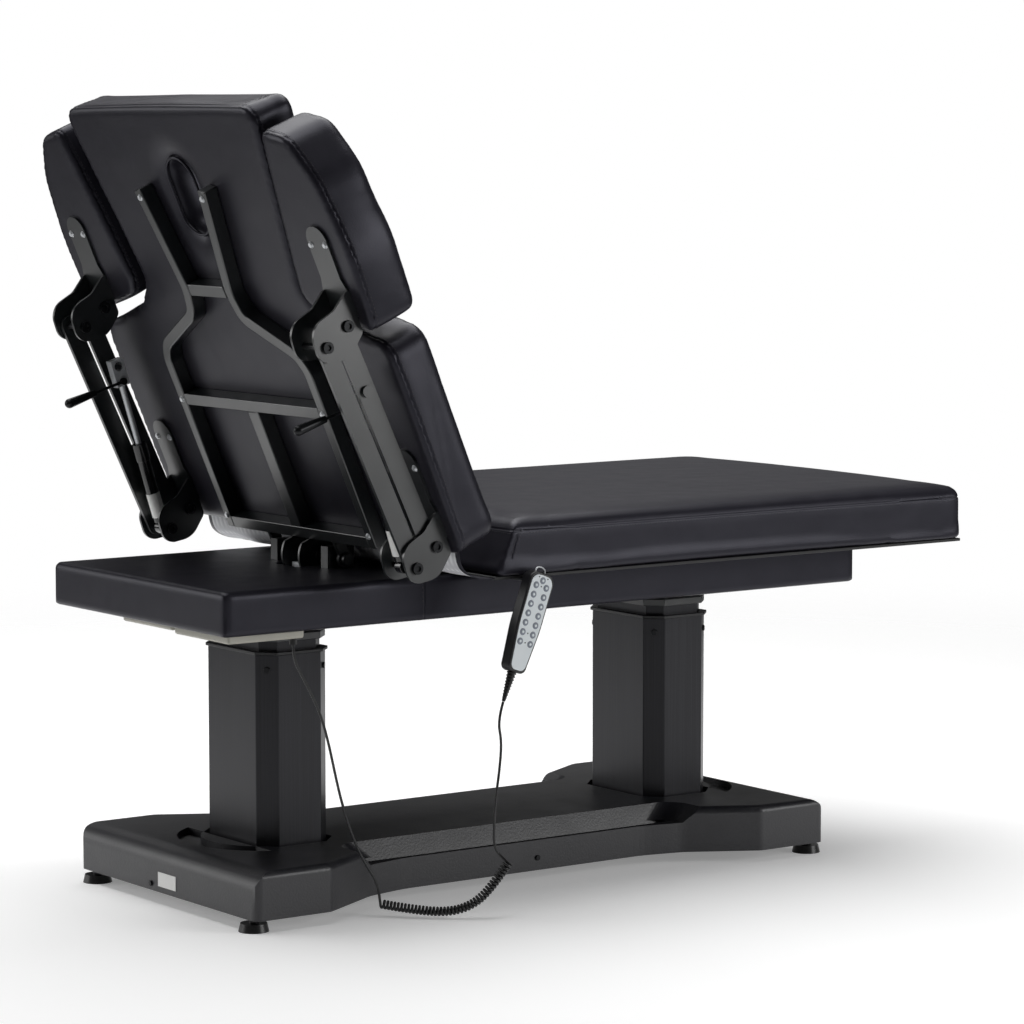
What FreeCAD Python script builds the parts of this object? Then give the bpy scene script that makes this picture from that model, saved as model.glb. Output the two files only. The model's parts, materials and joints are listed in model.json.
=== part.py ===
import FreeCAD, Part
import math
import os
import re
from types import SimpleNamespace
from FreeCAD import Placement, Rotation, Vector

# Electric treatment table: a base on four levelling feet, two telescopic lifting columns, a deck
# with a leg cushion, and a hinged backrest with a face hole and two drop-down arm pads.
# Frame: +X to the foot end, +Y to the user's left, +Z up, origin on the floor at the box's centre.
# All sizes are in millimetres.

SIZES = {
    # Deck and leg section
    "deck_head_x": -707, "deck_foot_x": 552, "deck_width": 528, "deck_bottom": 461, "deck_height": 70,
    "deck_wall": 12, "deck_edge_radius": 9,
    "rail_spacing": 300, "rail_width": 40, "rail_head_x": -550, "rail_foot_x": 536,
    "member_width": 40, "member_height": 40, "top_plate_thickness": 12,
    "board_thickness": 5, "board_inset": 10,
    "leg_foot_x": 707, "leg_width": 760, "leg_height": 93, "leg_hip_x": -290, "leg_corner_radius": 26,
    "leg_crown": 5, "leg_top_radius": 20, "leg_bottom_radius": 6, "side_draw": 4,
    # Control and power boxes under the head end
    "control_width": 160, "control_length": 138, "control_y": -250, "control_drop": 12,
    "power_width": 150, "power_length": 96, "power_y": -82, "power_drop": 8, "electric_head_gap": 3,
    # Base
    "base_length": 1142, "base_centre_x": -88, "base_width": 542, "base_bottom": 20, "base_top": 96,
    "base_waist_width": 376, "base_end_side": 138, "base_taper": 117, "base_neck": 75,
    "base_end_radius": 34, "base_corner_radius": 14, "base_side_radius": 12, "base_wall": 5,
    "spine_width": 280, "rim_top": 70, "channel_floor": 56, "rim_width": 11, "end_slope": 30,
    "spine_slope": 12, "channel_slope": 6, "channel_radius": 5, "channel_corner": 40,
    "opening_gap": 9, "pocket_inner_radius": 108, "pocket_outer_radius": 146, "pocket_depth": 12,
    "label_thickness": 1, "label_y": -34, "label_length": 54, "label_height": 23, "end_screw_y": 43,
    "base_plate_thickness": 8, "base_plate_lift": 4, "spine_plate_width": 236, "end_plate_length": 92,
    "plate_clearance": 8,
    "foot_end_inset": 15, "foot_spacing_x": "=base_length - 2 * foot_end_inset",
    "foot_spacing_y": 481, "foot_diameter": 48, "foot_pad_height": 13,
    "foot_stem_diameter": 10, "foot_stem_top": 48, "foot_boss_diameter": 18, "running_gap": 0.05,
    # Columns and lift
    "column_centre_x": -77, "column_spacing": 778, "column_x": 132, "column_y": 195,
    "column_chamfer": 26, "column_wall": 5, "column_top": 401, "column_inset": 8.5, "inner_wall": 4,
    "collar_thickness": 5, "collar_gap": 0.5, "inner_bottom": 42,
    "inner_top": 422, "collar_over": 3, "riser_inset": 18, "actuator_radius": 26, "actuator_height": 300,
    "rod_radius": 14, "actuator_floor": 8, "column_screw_drop": 24,
    # Backrest
    "hinge_x": -378, "hinge_z": 546, "back_angle": 66.6, "back_rear": 16, "back_start": 19,
    "back_thickness": 80, "back_width": 848, "back_bottom": 8, "shoulder": 366, "shoulder_slope": 40,
    "neck_height": 452, "neck_inset": 194, "neck_width": "=back_width - 2 * neck_inset",
    "head_height": 752, "head_inset": 135, "head_width": "=back_width - 2 * head_inset", "back_corner": 30,
    "back_crown": 5, "back_top_radius": 13, "back_rear_radius": 7,
    "face_hole_height": 602, "face_hole_length": 126, "face_hole_width": 70, "face_hole_roll": 8,
    "tube_width": 20, "tube_depth": 25, "tube_tip_height": 625, "tube_tip_y": 97, "tube_waist_y": 64,
    "tube_waist_height": 452, "tube_hip_y": 210, "tube_bend_low": 322, "tube_bend_high": 408,
    "tube_bottom": 15, "mid_bar_height": 250, "bar_width": 20, "hinge_bar_height": 25, "centre_bar_width": 30,
    "shaft_radius": 10, "shaft_length": 216, "disc_radius": 42, "disc_thickness": 6, "disc_spacing": 50,
    "disc_gap": 4, "lever_radius": 30, "lever_pin_radius": 6, "block_spacing": 150, "block_width": 20,
    "block_length": 50, "block_top": 20, "ear_spacing": 192, "ear_thickness": 8, "ear_radius": 14,
    "lever_opening_width": 68,
    # Back actuator under the deck
    "back_rod_z": 503, "back_rod_radius": 9, "eye_width": 30, "eye_length": 28, "slot_gap": 1.4,
    "motor_head_x": -270, "motor_foot_x": -25, "motor_width": 60, "motor_bottom": 470, "motor_top": 517,
    "back_rod_length": 190, "motor_bore_length": 150,
    # Arm linkage
    "arm_inset": 61, "arm_y": "=back_width / 2 - arm_inset", "bracket_width": 66, "cheek_thickness": 5,
    "web_thickness": 4, "tongue_width": 52, "tongue_length": 190, "pivot_low": 37, "pivot_behind": 24,
    "pivot_step_along": -14, "pivot_step_behind": 46, "link_length": 378, "link_lean": 12, "link_width": 31,
    "link_thickness": 7, "link_gap": 2, "link_inner_shift": 7, "link_outer_shift": -3,
    "bolt_radius": 5, "bolt_head_radius": 9, "bolt_head_height": 5, "screw_radius": 6, "screw_height": 3,
    "screw_pitch": 38, "screw_height_along": 160,
    "spring_pin_along": 272, "spring_pin_shift": 8, "spring_pin_radius": 4, "spring_pin_gap": 3.5,
    "gas_tube_radius": 11, "gas_cap_radius": 12.5, "gas_tube_length": 150, "gas_cap_length": 30,
    "gas_rod_radius": 5, "gas_rod_depth": 75, "gas_bore_spare": 45,
    "release_block_length": 46, "release_block_width": 24, "release_block_thickness": 16,
    "gas_inset": 4, "gas_y": "=arm_y - gas_inset", "gas_eye_thickness": 16,
    "release_wire_radius": 2.5, "release_wire_length": 58, "grip_radius": 8, "grip_length": 50,
    "release_boss_radius": 6, "release_boss_width": 5, "release_gap": 0.3,
    # Arm pads
    "pad_thickness": 92, "pad_top": 722, "pad_tip_inset": 118, "pad_tip_y": "=back_width / 2 - pad_tip_inset",
    "pad_inner_inset": 177, "pad_inner_y": "=back_width / 2 - pad_inner_inset", "pad_inner_rise": 44,
    "pad_low_height": 390, "pad_inner_height": "=pad_low_height + pad_inner_rise",
    "pad_low_inset": 3, "pad_low_y": "=back_width / 2 - pad_low_inset",
    "pad_outer_over": 8, "pad_outer_y": "=back_width / 2 + pad_outer_over",
    "pad_outer_share": 0.39,
    "pad_outer_height": "=pad_low_height + pad_outer_share * (pad_top - pad_low_height)",
    "pad_upper_inset": 12, "pad_upper_y": "=back_width / 2 - pad_upper_inset",
    "pad_upper_share": 0.75,
    "pad_upper_height": "=pad_low_height + pad_upper_share * (pad_top - pad_low_height)",
    "pad_corner_drop": 14, "pad_corner_inset": 52, "pad_corner_y": "=back_width / 2 - pad_corner_inset",
    "pad_edge_radius": 16,
    # Bridge flap between backrest and leg section
    "flap_thickness": 3, "flap_side_inset": 10, "flap_width": "=leg_width - 2 * flap_side_inset",
    "flap_rise": 44,
    # Handset and its cord
    "handset_length": 161, "handset_width": 48, "handset_foot_width": 34, "handset_thickness": 22,
    "handset_top_x": -211, "handset_top_z": 541, "handset_tilt": 20, "handset_side_gap": 6,
    "handset_back_y": "=-leg_width / 2 - handset_side_gap",
    "keypad_thickness": 1.2, "keypad_inset": 3, "hook_thickness": 4, "hook_width": 18, "hook_drop": 32,
    "boot_length": 48, "boot_radius": 6.5, "cord_radius": 2.2, "gland_radius": 6, "gland_length": 9,
    "gland_inset_x": 16, "gland_inset_y": 8,
    "curl_radius": 5.6, "curl_count": 40.5,
}

doc = FreeCAD.newDocument("treatment_table")
sheet = doc.addObject("Spreadsheet::Sheet", "Sizes")
for row, (alias, number) in enumerate(SIZES.items(), start=1):
    sheet.set("A%d" % row, alias)
    sheet.set("B%d" % row, str(number))
    sheet.setAlias("B%d" % row, alias)
doc.recompute()
S = SimpleNamespace(**{alias: float(sheet.get(alias)) for alias in SIZES})

nodes = []


def expr(text):
    """Turns a formula on the sheet's aliases into a FreeCAD expression."""
    def bound(word):
        return "Sizes." + word.group() if word.group() in SIZES else word.group()
    return re.sub(r"[a-z_]{3,}", bound, str(text))


def node(obj, name):
    """Marks a document object as a finished sub-part."""
    obj.Label = name
    nodes.append((obj, name))
    return obj


def place(obj, x, y, z, rotation=Rotation()):
    """Binds an object's position to formulas on the sheet."""
    obj.Placement = Placement(Vector(0, 0, 0), rotation)
    for axis, formula in zip("xyz", (x, y, z)):
        obj.setExpression("Placement.Base." + axis, expr(formula))
    return obj


def box(name, corner, dims):
    obj = doc.addObject("Part::Box", name)
    for prop, formula in zip(("Length", "Width", "Height"), dims):
        obj.setExpression(prop, expr(formula))
    return place(obj, *corner)


ALONG = {"X": Rotation(Vector(0, 1, 0), 90), "Y": Rotation(Vector(1, 0, 0), -90), "Z": Rotation()}


def cylinder(name, start, radius, height, axis="Z"):
    obj = doc.addObject("Part::Cylinder", name)
    obj.setExpression("Radius", expr(radius))
    obj.setExpression("Height", expr(height))
    return place(obj, *start, rotation=ALONG[axis])


def cone(name, start, radius_low, radius_high, height, axis="Z"):
    obj = doc.addObject("Part::Cone", name)
    obj.setExpression("Radius1", expr(radius_low))
    obj.setExpression("Radius2", expr(radius_high))
    obj.setExpression("Height", expr(height))
    return place(obj, *start, rotation=ALONG[axis])


def fuse(name, shapes):
    obj = doc.addObject("Part::MultiFuse", name)
    obj.Shapes = shapes
    obj.Refine = True
    return obj


def cut(name, base, tools):
    obj = doc.addObject("Part::Cut", name)
    obj.Base = base
    obj.Tool = tools[0] if len(tools) == 1 else fuse(name + "_tools", tools)
    return obj


def group(name, shapes):
    """Identical loose pieces that share one node."""
    obj = doc.addObject("Part::Compound", name)
    obj.Links = shapes
    return obj


def rounded_loop(points):
    """Closed outline of lines and tangent arcs through corners given as (x, y, radius)."""
    corners = []
    count = len(points)
    for index, (x, y, radius) in enumerate(points):
        corner = Vector(x, y, 0)
        before = (Vector(*points[index - 1][:2], 0) - corner).normalize()
        after = (Vector(*points[(index + 1) % count][:2], 0) - corner).normalize()
        half = math.acos(max(-1, min(1, before.dot(after)))) / 2
        reach = radius / math.tan(half) if radius else 0
        middle = corner
        if radius:
            bisector = (before + after).normalize()
            middle = corner + bisector * (radius / math.sin(half) - radius)
        corners.append((corner + before * reach, middle, corner + after * reach, radius))
    loop = []
    for index, (first, middle, last, radius) in enumerate(corners):
        if radius:
            loop.append(Part.Arc(first, middle, last))
        following = corners[(index + 1) % count][0]
        if (following - last).Length > 1e-6:
            loop.append(Part.LineSegment(last, following))
    return loop


def circle(x, y, radius):
    return [Part.Circle(Vector(x, y, 0), Vector(0, 0, 1), radius)]


def face_of(loop):
    return Part.Face(Part.Wire([curve.toShape() for curve in loop]))


def plate(name, loops, length, placement=Placement()):
    """PartDesign body: the loops drawn in one sketch and padded by a formula on the sheet."""
    body = doc.addObject("PartDesign::Body", name)
    plane = [feature for feature in body.Origin.OriginFeatures if feature.Role == "XY_Plane"][0]
    sketch = body.newObject("Sketcher::SketchObject", name + "_sketch")
    sketch.AttachmentSupport = [(plane, "")]
    sketch.MapMode = "FlatFace"
    for loop in loops:
        sketch.addGeometry(loop, False)
    pad = body.newObject("PartDesign::Pad", name + "_pad")
    pad.Profile = sketch
    pad.setExpression("Length", expr(length))
    body.Placement = placement
    return body


def solid_node(name, shape, placement=Placement()):
    """A formed piece whose shape is worked out here."""
    obj = doc.addObject("Part::Feature", name)
    obj.Shape = shape
    obj.Placement = placement
    return node(obj, name)


# Places worked out from the driving sizes
DECK_TOP = S.deck_bottom + S.deck_height
BOARD_TOP = DECK_TOP + S.board_thickness
HINGE = Vector(S.hinge_x, 0, S.hinge_z)
BACK = Placement(HINGE, Rotation(Vector(0, 1, 0), S.back_angle))
COLUMNS = {"head": "column_centre_x - column_spacing / 2", "foot": "column_centre_x + column_spacing / 2"}


# Base: steel plate, cover shell, feet
plate_bottom = "base_bottom + base_plate_lift"
plate_top = plate_bottom + " + base_plate_thickness"
foot_places = {}
for end, sign_x in (("head", "-"), ("foot", "+")):
    for side, sign_y in (("right", "-"), ("left", "+")):
        foot_places[end + "_" + side] = ("base_centre_x %s foot_spacing_x / 2" % sign_x,
                                         "%s foot_spacing_y / 2" % sign_y)

spine_corner = ("base_centre_x - foot_spacing_x / 2", "-spine_plate_width / 2", plate_bottom)
spine_size = ("foot_spacing_x", "spine_plate_width", "base_plate_thickness")
frame_parts = [box("spine_plate", spine_corner, spine_size)]
end_size = ("end_plate_length", "base_width - 2 * base_wall - 2 * plate_clearance", "base_plate_thickness")
end_plate_y = "-base_width / 2 + base_wall + plate_clearance"
end_plate_x = {"head": "base_centre_x - foot_spacing_x / 2 - foot_boss_diameter / 2 + 1",
               "foot": "base_centre_x + foot_spacing_x / 2 + foot_boss_diameter / 2 - 1 - end_plate_length"}
for end, x in end_plate_x.items():
    frame_parts.append(box("end_plate_" + end, (x, end_plate_y, plate_bottom), end_size))
frame_holes = []
for place_name, (x, y) in foot_places.items():
    boss = cylinder("boss_" + place_name, (x, y, plate_bottom), "foot_boss_diameter / 2",
                    "foot_stem_top - base_bottom - base_plate_lift")
    frame_parts.append(boss)
    hole = cylinder("boss_hole_" + place_name, (x, y, "0"), "foot_stem_diameter / 2 + running_gap",
                    "foot_stem_top * 1.2")
    frame_holes.append(hole)
node(cut("base_frame", fuse("base_frame_blank", frame_parts), frame_holes), "base_frame")

for place_name, (x, y) in foot_places.items():
    pad = cone("foot_pad_" + place_name, (x, y, "0"), "foot_diameter / 2", "foot_diameter / 2 - 3",
               "foot_pad_height")
    stem = cylinder("foot_stem_" + place_name, (x, y, "0"), "foot_stem_diameter / 2", "foot_stem_top - 2")
    nut = cylinder("foot_nut_" + place_name, (x, y, "foot_pad_height"), "foot_stem_diameter * 0.8",
                   "base_bottom + base_plate_lift - foot_pad_height - 1")
    node(fuse("levelling_foot_" + place_name, [pad, stem, nut]), "levelling_foot_" + place_name)

# Base cover: waisted plan, rounded ends, a sunken channel along each side of the spine
base_head = S.base_centre_x - S.base_length / 2
base_foot = S.base_centre_x + S.base_length / 2


def base_loop(inset):
    wide = S.base_width / 2 - inset
    waist = S.base_waist_width / 2 - inset
    neck = waist + (wide - waist) * 0.2
    half = []
    for x0, way in ((base_head + inset, 1), (base_foot - inset, -1)):
        side_end = x0 + way * (S.base_end_side - inset)
        taper_end = side_end + way * S.base_taper
        half.append([(x0, wide, S.base_corner_radius), (side_end, wide, 24), (taper_end, neck, 70),
                     (taper_end + way * S.base_neck, waist, 160)])
    left = half[0] + half[1][::-1]
    right = [(x, -y, radius) for x, y, radius in left[::-1]]
    return rounded_loop(left + right)


def end_profile(radius, inset):
    """Long side view with rounded top ends, as a prism across the base."""
    low = S.base_bottom - 1
    top = S.base_top - inset
    head_x = base_head + inset
    foot_x = base_foot - inset
    face = face_of(rounded_loop([(head_x, low, 0), (head_x, top, radius), (foot_x, top, radius),
                                 (foot_x, low, 0)]))
    face.rotate(Vector(0, 0, 0), Vector(1, 0, 0), 90)
    face.translate(Vector(0, S.base_width, 0))
    return face.extrude(Vector(0, -2 * S.base_width, 0))


def frustum(low_z, low, top_z, top, radius):
    """Solid between two rounded rectangles, given as x0, x1, y0, y1, at two heights."""
    wires = []
    for z, (x0, x1, y0, y1) in ((low_z, low), (top_z, top)):
        loop = rounded_loop([(x0, y0, radius), (x1, y0, radius), (x1, y1, radius), (x0, y1, radius)])
        wire = Part.Wire([curve.toShape() for curve in loop])
        wire.translate(Vector(0, 0, z))
        wires.append(wire)
    return Part.makeLoft(wires, True, True)


def octagon(half_x, half_y, chamfer):
    points = []
    for sx, sy, order in ((1, 1, 0), (-1, 1, 1), (-1, -1, 0), (1, -1, 1)):
        pair = [(sx * half_x, sy * (half_y - chamfer), 0), (sx * (half_x - chamfer), sy * half_y, 0)]
        points += pair[::-1] if order else pair
    return rounded_loop(points)


def column_prism(x, over, low, high):
    """Prism round a column, larger than it by a gap all round."""
    face = face_of(octagon(S.column_x / 2 + over, S.column_y / 2 + over, S.column_chamfer + over * 0.6))
    face.translate(Vector(x, 0, low))
    return face.extrude(Vector(0, 0, high - low))


column_x = {"head": S.column_centre_x - S.column_spacing / 2,
            "foot": S.column_centre_x + S.column_spacing / 2}
outer = face_of(base_loop(0))
outer.translate(Vector(0, 0, S.base_bottom))
cover = outer.extrude(Vector(0, 0, S.base_top - S.base_bottom))
shoulder_edges = [edge for edge in cover.Edges if edge.BoundBox.ZMin > S.base_top - 1]
cover = cover.makeFillet(S.base_side_radius, shoulder_edges).common(end_profile(S.base_end_radius, 0))
channel_start = base_head + S.base_end_side + S.base_taper * 0.75
channel_end = base_foot - S.base_end_side - S.base_taper * 0.75
floor_edge = S.spine_width / 2 + S.spine_slope
open_side = S.base_waist_width
groove_edge = S.base_waist_width / 2 - S.rim_width
strip_low = (channel_start + S.end_slope, channel_end - S.end_slope, floor_edge, open_side)
strip_top = (channel_start, channel_end, S.spine_width / 2, open_side)
groove_top = (strip_low[0] + S.rim_width, strip_low[1] - S.rim_width, floor_edge, groove_edge)
groove_low = (groove_top[0] + S.channel_slope, groove_top[1] - S.channel_slope,
              floor_edge + S.channel_slope, groove_edge - S.channel_slope)
strip = frustum(S.rim_top, strip_low, S.base_top, strip_top, S.channel_corner)
groove = frustum(S.channel_floor, groove_low, S.rim_top, groove_top, S.channel_radius)
for tool in (strip, groove):
    cover = cover.cut(tool)
    cover = cover.cut(tool.mirror(Vector(0, 0, 0), Vector(0, 1, 0)))
for end, way in (("head", -1), ("foot", 1)):
    cover = cover.cut(column_prism(column_x[end], S.opening_gap, 0, 2 * S.base_top))
    ring = Part.makeCylinder(S.pocket_outer_radius, S.pocket_depth + 1)
    ring = ring.cut(Part.makeCylinder(S.pocket_inner_radius, S.pocket_depth + 1))
    ring.translate(Vector(column_x[end], 0, S.base_top - S.pocket_depth))
    sector = Part.makeBox(S.pocket_outer_radius, 2.6 * S.pocket_inner_radius, S.base_top)
    sector_x = column_x[end] + way * S.column_x * 0.55 - (S.pocket_outer_radius if way < 0 else 0)
    sector.translate(Vector(sector_x, -1.3 * S.pocket_inner_radius, 1))
    cover = cover.cut(ring.common(sector))
inner = face_of(base_loop(S.base_wall))
low_hollow = S.channel_floor - S.base_wall
cover = cover.cut(inner.extrude(Vector(0, 0, low_hollow)))
ceiling = S.base_top - S.pocket_depth - S.base_wall
hollow_width = S.spine_width - 2 * S.base_wall
spine_hollow = Part.makeBox(S.base_length - 2 * S.base_end_radius, hollow_width, ceiling - low_hollow)
spine_hollow.translate(Vector(base_head + S.base_end_radius, -hollow_width / 2, low_hollow))
cover = cover.cut(spine_hollow)
solid_node("base_cover", cover)

label_corner = ("base_centre_x - base_length / 2 - label_thickness", "label_y", "base_bottom + 10")
node(box("label_plate", label_corner, ("label_thickness", "label_length", "label_height")), "label_plate")

# Columns: outer tubes on the base plate, collars, inner tubes that carry the deck
def column_loop(inset):
    """Outline of a column's section, drawn in from the outer column's faces."""
    return octagon(S.column_x / 2 - inset, S.column_y / 2 - inset, S.column_chamfer - max(inset, 0) * 0.6)


collars = []
top_plates = []
lift_rods = []
lift_actuators = []
collar_loops = [column_loop(-S.collar_over), column_loop(S.column_inset - S.collar_gap)]
outer_loops = [column_loop(0), column_loop(S.column_wall)]
inner_loops = [column_loop(S.column_inset), column_loop(S.column_inset + S.inner_wall)]
for end, x in COLUMNS.items():
    tube = plate("column_outer_" + end, outer_loops, "column_top - (%s)" % plate_top)
    node(place(tube, x, "0", plate_top), "column_outer_" + end)
    collars.append(place(plate("collar_" + end, collar_loops, "collar_thickness"), x, "0", "column_top"))
    tube = plate("column_inner_" + end, inner_loops, "inner_top - inner_bottom")
    node(place(tube, x, "0", "inner_bottom"), "column_inner_" + end)
    flange = plate("top_plate_" + end, [column_loop(0)], "top_plate_thickness")
    top_plates.append(place(flange, x, "0", "inner_top"))
    body = cylinder("lift_body_" + end, (x, "0", plate_top), "actuator_radius", "actuator_height")
    bore = cylinder("lift_bore_" + end, (x, "0", plate_top + " + actuator_floor"),
                    "rod_radius + running_gap * 2", "actuator_height")
    lift_actuators.append(cut("lift_tube_" + end, body, [bore]))
    lift_rods.append(cylinder("lift_rod_" + end, (x, "0", "inner_bottom + 2"), "rod_radius",
                              "inner_top - inner_bottom - 2"))
node(group("column_collars", collars), "column_collars")
node(group("column_top_plates", top_plates), "column_top_plates")
node(group("lift_rods", lift_rods), "lift_rods")
node(group("lift_actuators", lift_actuators), "lift_actuators")

# Screws of the base: one in each chamfer at the column tops, one at each end and side of the cover
screws = []
chamfer_middle = "column_chamfer / 2"
for end, x in COLUMNS.items():
    for side in (-1, 1):
        for way in (-1, 1):
            screw = cylinder("column_screw_%s_%d_%d" % (end, side, way), ("0", "0", "0"), "screw_radius - 1",
                             "screw_height")
            angle = math.degrees(math.atan2(side, way))
            place(screw, "%s + (%d) * (column_x / 2 - %s)" % (x, way, chamfer_middle),
                  "(%d) * (column_y / 2 - %s)" % (side, chamfer_middle), "column_top - column_screw_drop",
                  Rotation(Vector(0, 0, 1), angle) * ALONG["X"])
            screws.append(screw)
for way in (-1, 1):
    outward = "" if way > 0 else " - screw_height"
    end_face = "base_centre_x + (%d) * base_length / 2" % way + outward
    screws.append(cylinder("end_screw_%d" % way, (end_face, "end_screw_y", "base_bottom + 11"),
                           "screw_radius - 1.5", "screw_height", "X"))
    side_face = "(%d) * base_waist_width / 2" % way + outward
    screws.append(cylinder("side_screw_%d" % way, ("base_centre_x + 25", side_face, "base_bottom + 21"),
                           "screw_radius - 1.5", "screw_height", "Y"))
node(group("base_screws", screws), "base_screws")

# Deck: welded frame, upholstered cover, leg board
rail_bottom = "deck_bottom"
riser_bottom = "inner_top + top_plate_thickness"
deck_ceiling = "deck_bottom + deck_height - deck_wall"
deck_top = "deck_bottom + deck_height"
members = []
rail_size = ("rail_foot_x - rail_head_x", "rail_width", deck_ceiling + " - (%s)" % rail_bottom)
for side, sign in (("right", "-"), ("left", "+")):
    rail_y = "%s rail_spacing / 2 - rail_width / 2" % sign
    members.append(box("rail_" + side, ("rail_head_x", rail_y, rail_bottom), rail_size))
riser_size = ("column_x - 2 * riser_inset", "column_y - 2 * riser_inset",
              rail_bottom + " + member_height / 2 - (%s)" % riser_bottom)
for end, x in COLUMNS.items():
    members.append(box("member_" + end, (x + " - member_width / 2", "-rail_spacing / 2", rail_bottom),
                       ("member_width", "rail_spacing", "member_height")))
    riser_corner = (x + " - column_x / 2 + riser_inset", "-column_y / 2 + riser_inset", riser_bottom)
    members.append(box("riser_" + end, riser_corner, riser_size))
members.append(box("member_motor", ("motor_foot_x", "-rail_spacing / 2", rail_bottom),
                   ("member_width", "rail_spacing", "motor_top - (%s)" % rail_bottom)))
node(fuse("deck_frame", members), "deck_frame")

deck_block = box("deck_block", ("deck_head_x", "-deck_width / 2", "deck_bottom"),
                 ("deck_foot_x - deck_head_x", "deck_width", "deck_height"))
doc.recompute()
rounded = doc.addObject("Part::Fillet", "deck_rounded")
rounded.Base = deck_block
rounded.Edges = [(index, S.deck_edge_radius, S.deck_edge_radius)
                 for index, edge in enumerate(deck_block.Shape.Edges, start=1)
                 if edge.CenterOfMass.z > S.deck_bottom + 1]
hollow_corner = ("deck_head_x + deck_wall", "-deck_width / 2 + deck_wall", "deck_bottom - 1")
hollow_size = ("deck_foot_x - deck_head_x - 2 * deck_wall", "deck_width - 2 * deck_wall",
               "deck_height - deck_wall + 1")
deck_hollow = box("deck_hollow", hollow_corner, hollow_size)
lever_corner = ("hinge_x - disc_radius - disc_gap", "-lever_opening_width / 2", deck_ceiling + " - 1")
lever_size = ("2 * disc_radius + 2 * disc_gap", "lever_opening_width", "deck_wall + 2")
lever_slot = box("lever_slot", lever_corner, lever_size)
node(cut("deck_cover", rounded, [deck_hollow, lever_slot]), "deck_cover")

board_size = ("leg_foot_x - leg_hip_x - 2 * board_inset", "leg_width - 2 * board_inset", "board_thickness")
board_corner = ("leg_hip_x + board_inset", "-leg_width / 2 + board_inset", deck_top)
node(box("leg_board", board_corner, board_size), "leg_board")
electric_x = "deck_head_x + deck_wall + electric_head_gap"
node(box("control_box", (electric_x, "control_y", "deck_bottom - control_drop"),
         ("control_length", "control_width", "deck_height - deck_wall + control_drop")), "control_box")
node(box("power_box", (electric_x, "power_y", "deck_bottom - power_drop"),
         ("power_length", "power_width", "deck_height - deck_wall + power_drop")), "power_box")


# Cushions: a padded slab with a crown across its top, sides drawn in between the corners, rolled edges
def drawn_loop(x0, x1, half_width, corner, draw):
    """Rectangle with rounded corners whose four sides bow inwards by the draw."""
    middle_x = (x0 + x1) / 2
    arcs = []
    for cx, cy, first in ((x1, half_width, 0), (x0, half_width, 90), (x0, -half_width, 180),
                          (x1, -half_width, 270)):
        centre = Vector(cx - math.copysign(corner, cx - middle_x), cy - math.copysign(corner, cy), 0)
        turns = [math.radians(first + step) for step in (0, 45, 90)]
        arcs.append([centre + Vector(math.cos(turn), math.sin(turn), 0) * corner for turn in turns])
    loop = []
    for index, arc in enumerate(arcs):
        loop.append(Part.Arc(*arc))
        following = arcs[(index + 1) % 4][0]
        middle = (arc[2] + following) * 0.5
        inward = Vector(middle_x, 0, 0) - middle
        loop.append(Part.Arc(arc[2], middle + inward.normalize() * draw, following))
    return loop


def in_plan(edge, bounds):
    """Whether an edge lies within a box as seen from above."""
    inside = bounds.XMin - 1 < edge.BoundBox.XMin and edge.BoundBox.XMax < bounds.XMax + 1
    return inside and bounds.YMin - 1 < edge.BoundBox.YMin and edge.BoundBox.YMax < bounds.YMax + 1


def rolled(shape, low_radius, top_radius, low_z, hole=None):
    """Rolls the rim edges: the small radius at the underside, the large one at the top."""
    low_edges = []
    top_edges = []
    for edge in shape.Edges:
        if hole and in_plan(edge, hole):
            continue
        normal_faces = shape.ancestorsOfType(edge, Part.Face)
        middle = edge.CenterOfMass
        flat = [abs(face.normalAt(*face.Surface.parameter(middle)).z) > 0.7 for face in normal_faces]
        if sum(flat) == 1:
            (low_edges if edge.CenterOfMass.z < low_z + 1 else top_edges).append(edge)
    shape = shape.makeFillet(top_radius, top_edges)
    low_edges = [edge for edge in shape.Edges
                 if edge.BoundBox.ZMax < low_z + 0.01 and not (hole and in_plan(edge, hole))]
    return shape.makeFillet(low_radius, low_edges)


def crowned(face, low_z, height, crown, half_width):
    """Slab on a flat face with its top bowed up across the width."""
    face.translate(Vector(0, 0, low_z))
    slab = face.extrude(Vector(0, 0, height + crown))
    bow = (half_width ** 2 + crown ** 2) / (2 * crown)
    length = face.BoundBox.XLength + 20
    axis_start = Vector(face.BoundBox.XMin - 10, 0, low_z + height + crown - bow)
    drum = Part.makeCylinder(bow, length, axis_start, Vector(1, 0, 0))
    drum.rotate(axis_start, Vector(1, 0, 0), 123)
    return slab.common(drum)


half_leg = S.leg_width / 2
leg_face = face_of(drawn_loop(S.leg_hip_x, S.leg_foot_x, half_leg, S.leg_corner_radius, S.side_draw))
leg = crowned(leg_face, BOARD_TOP, S.leg_height - S.leg_crown, S.leg_crown, half_leg)
wedge_size = 2 * S.leg_height
wedge_corner = Vector(-wedge_size, -S.leg_width, -wedge_size / 2)
hip_wedge = Part.makeBox(wedge_size, 2 * S.leg_width, 2 * wedge_size, wedge_corner)
hip_wedge.rotate(Vector(0, 0, 0), Vector(0, 1, 0), 90 - S.back_angle)
hip_wedge.translate(Vector(S.leg_hip_x + S.side_draw + 2, 0, BOARD_TOP))
leg = leg.cut(hip_wedge)
leg = rolled(leg, S.leg_bottom_radius, S.leg_top_radius, BOARD_TOP)
solid_node("leg_cushion", leg)


# Backrest, drawn lying flat with the hinge axis at its origin; heights run from the hinge to the head
def along(height):
    return -(height + S.back_start)


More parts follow.
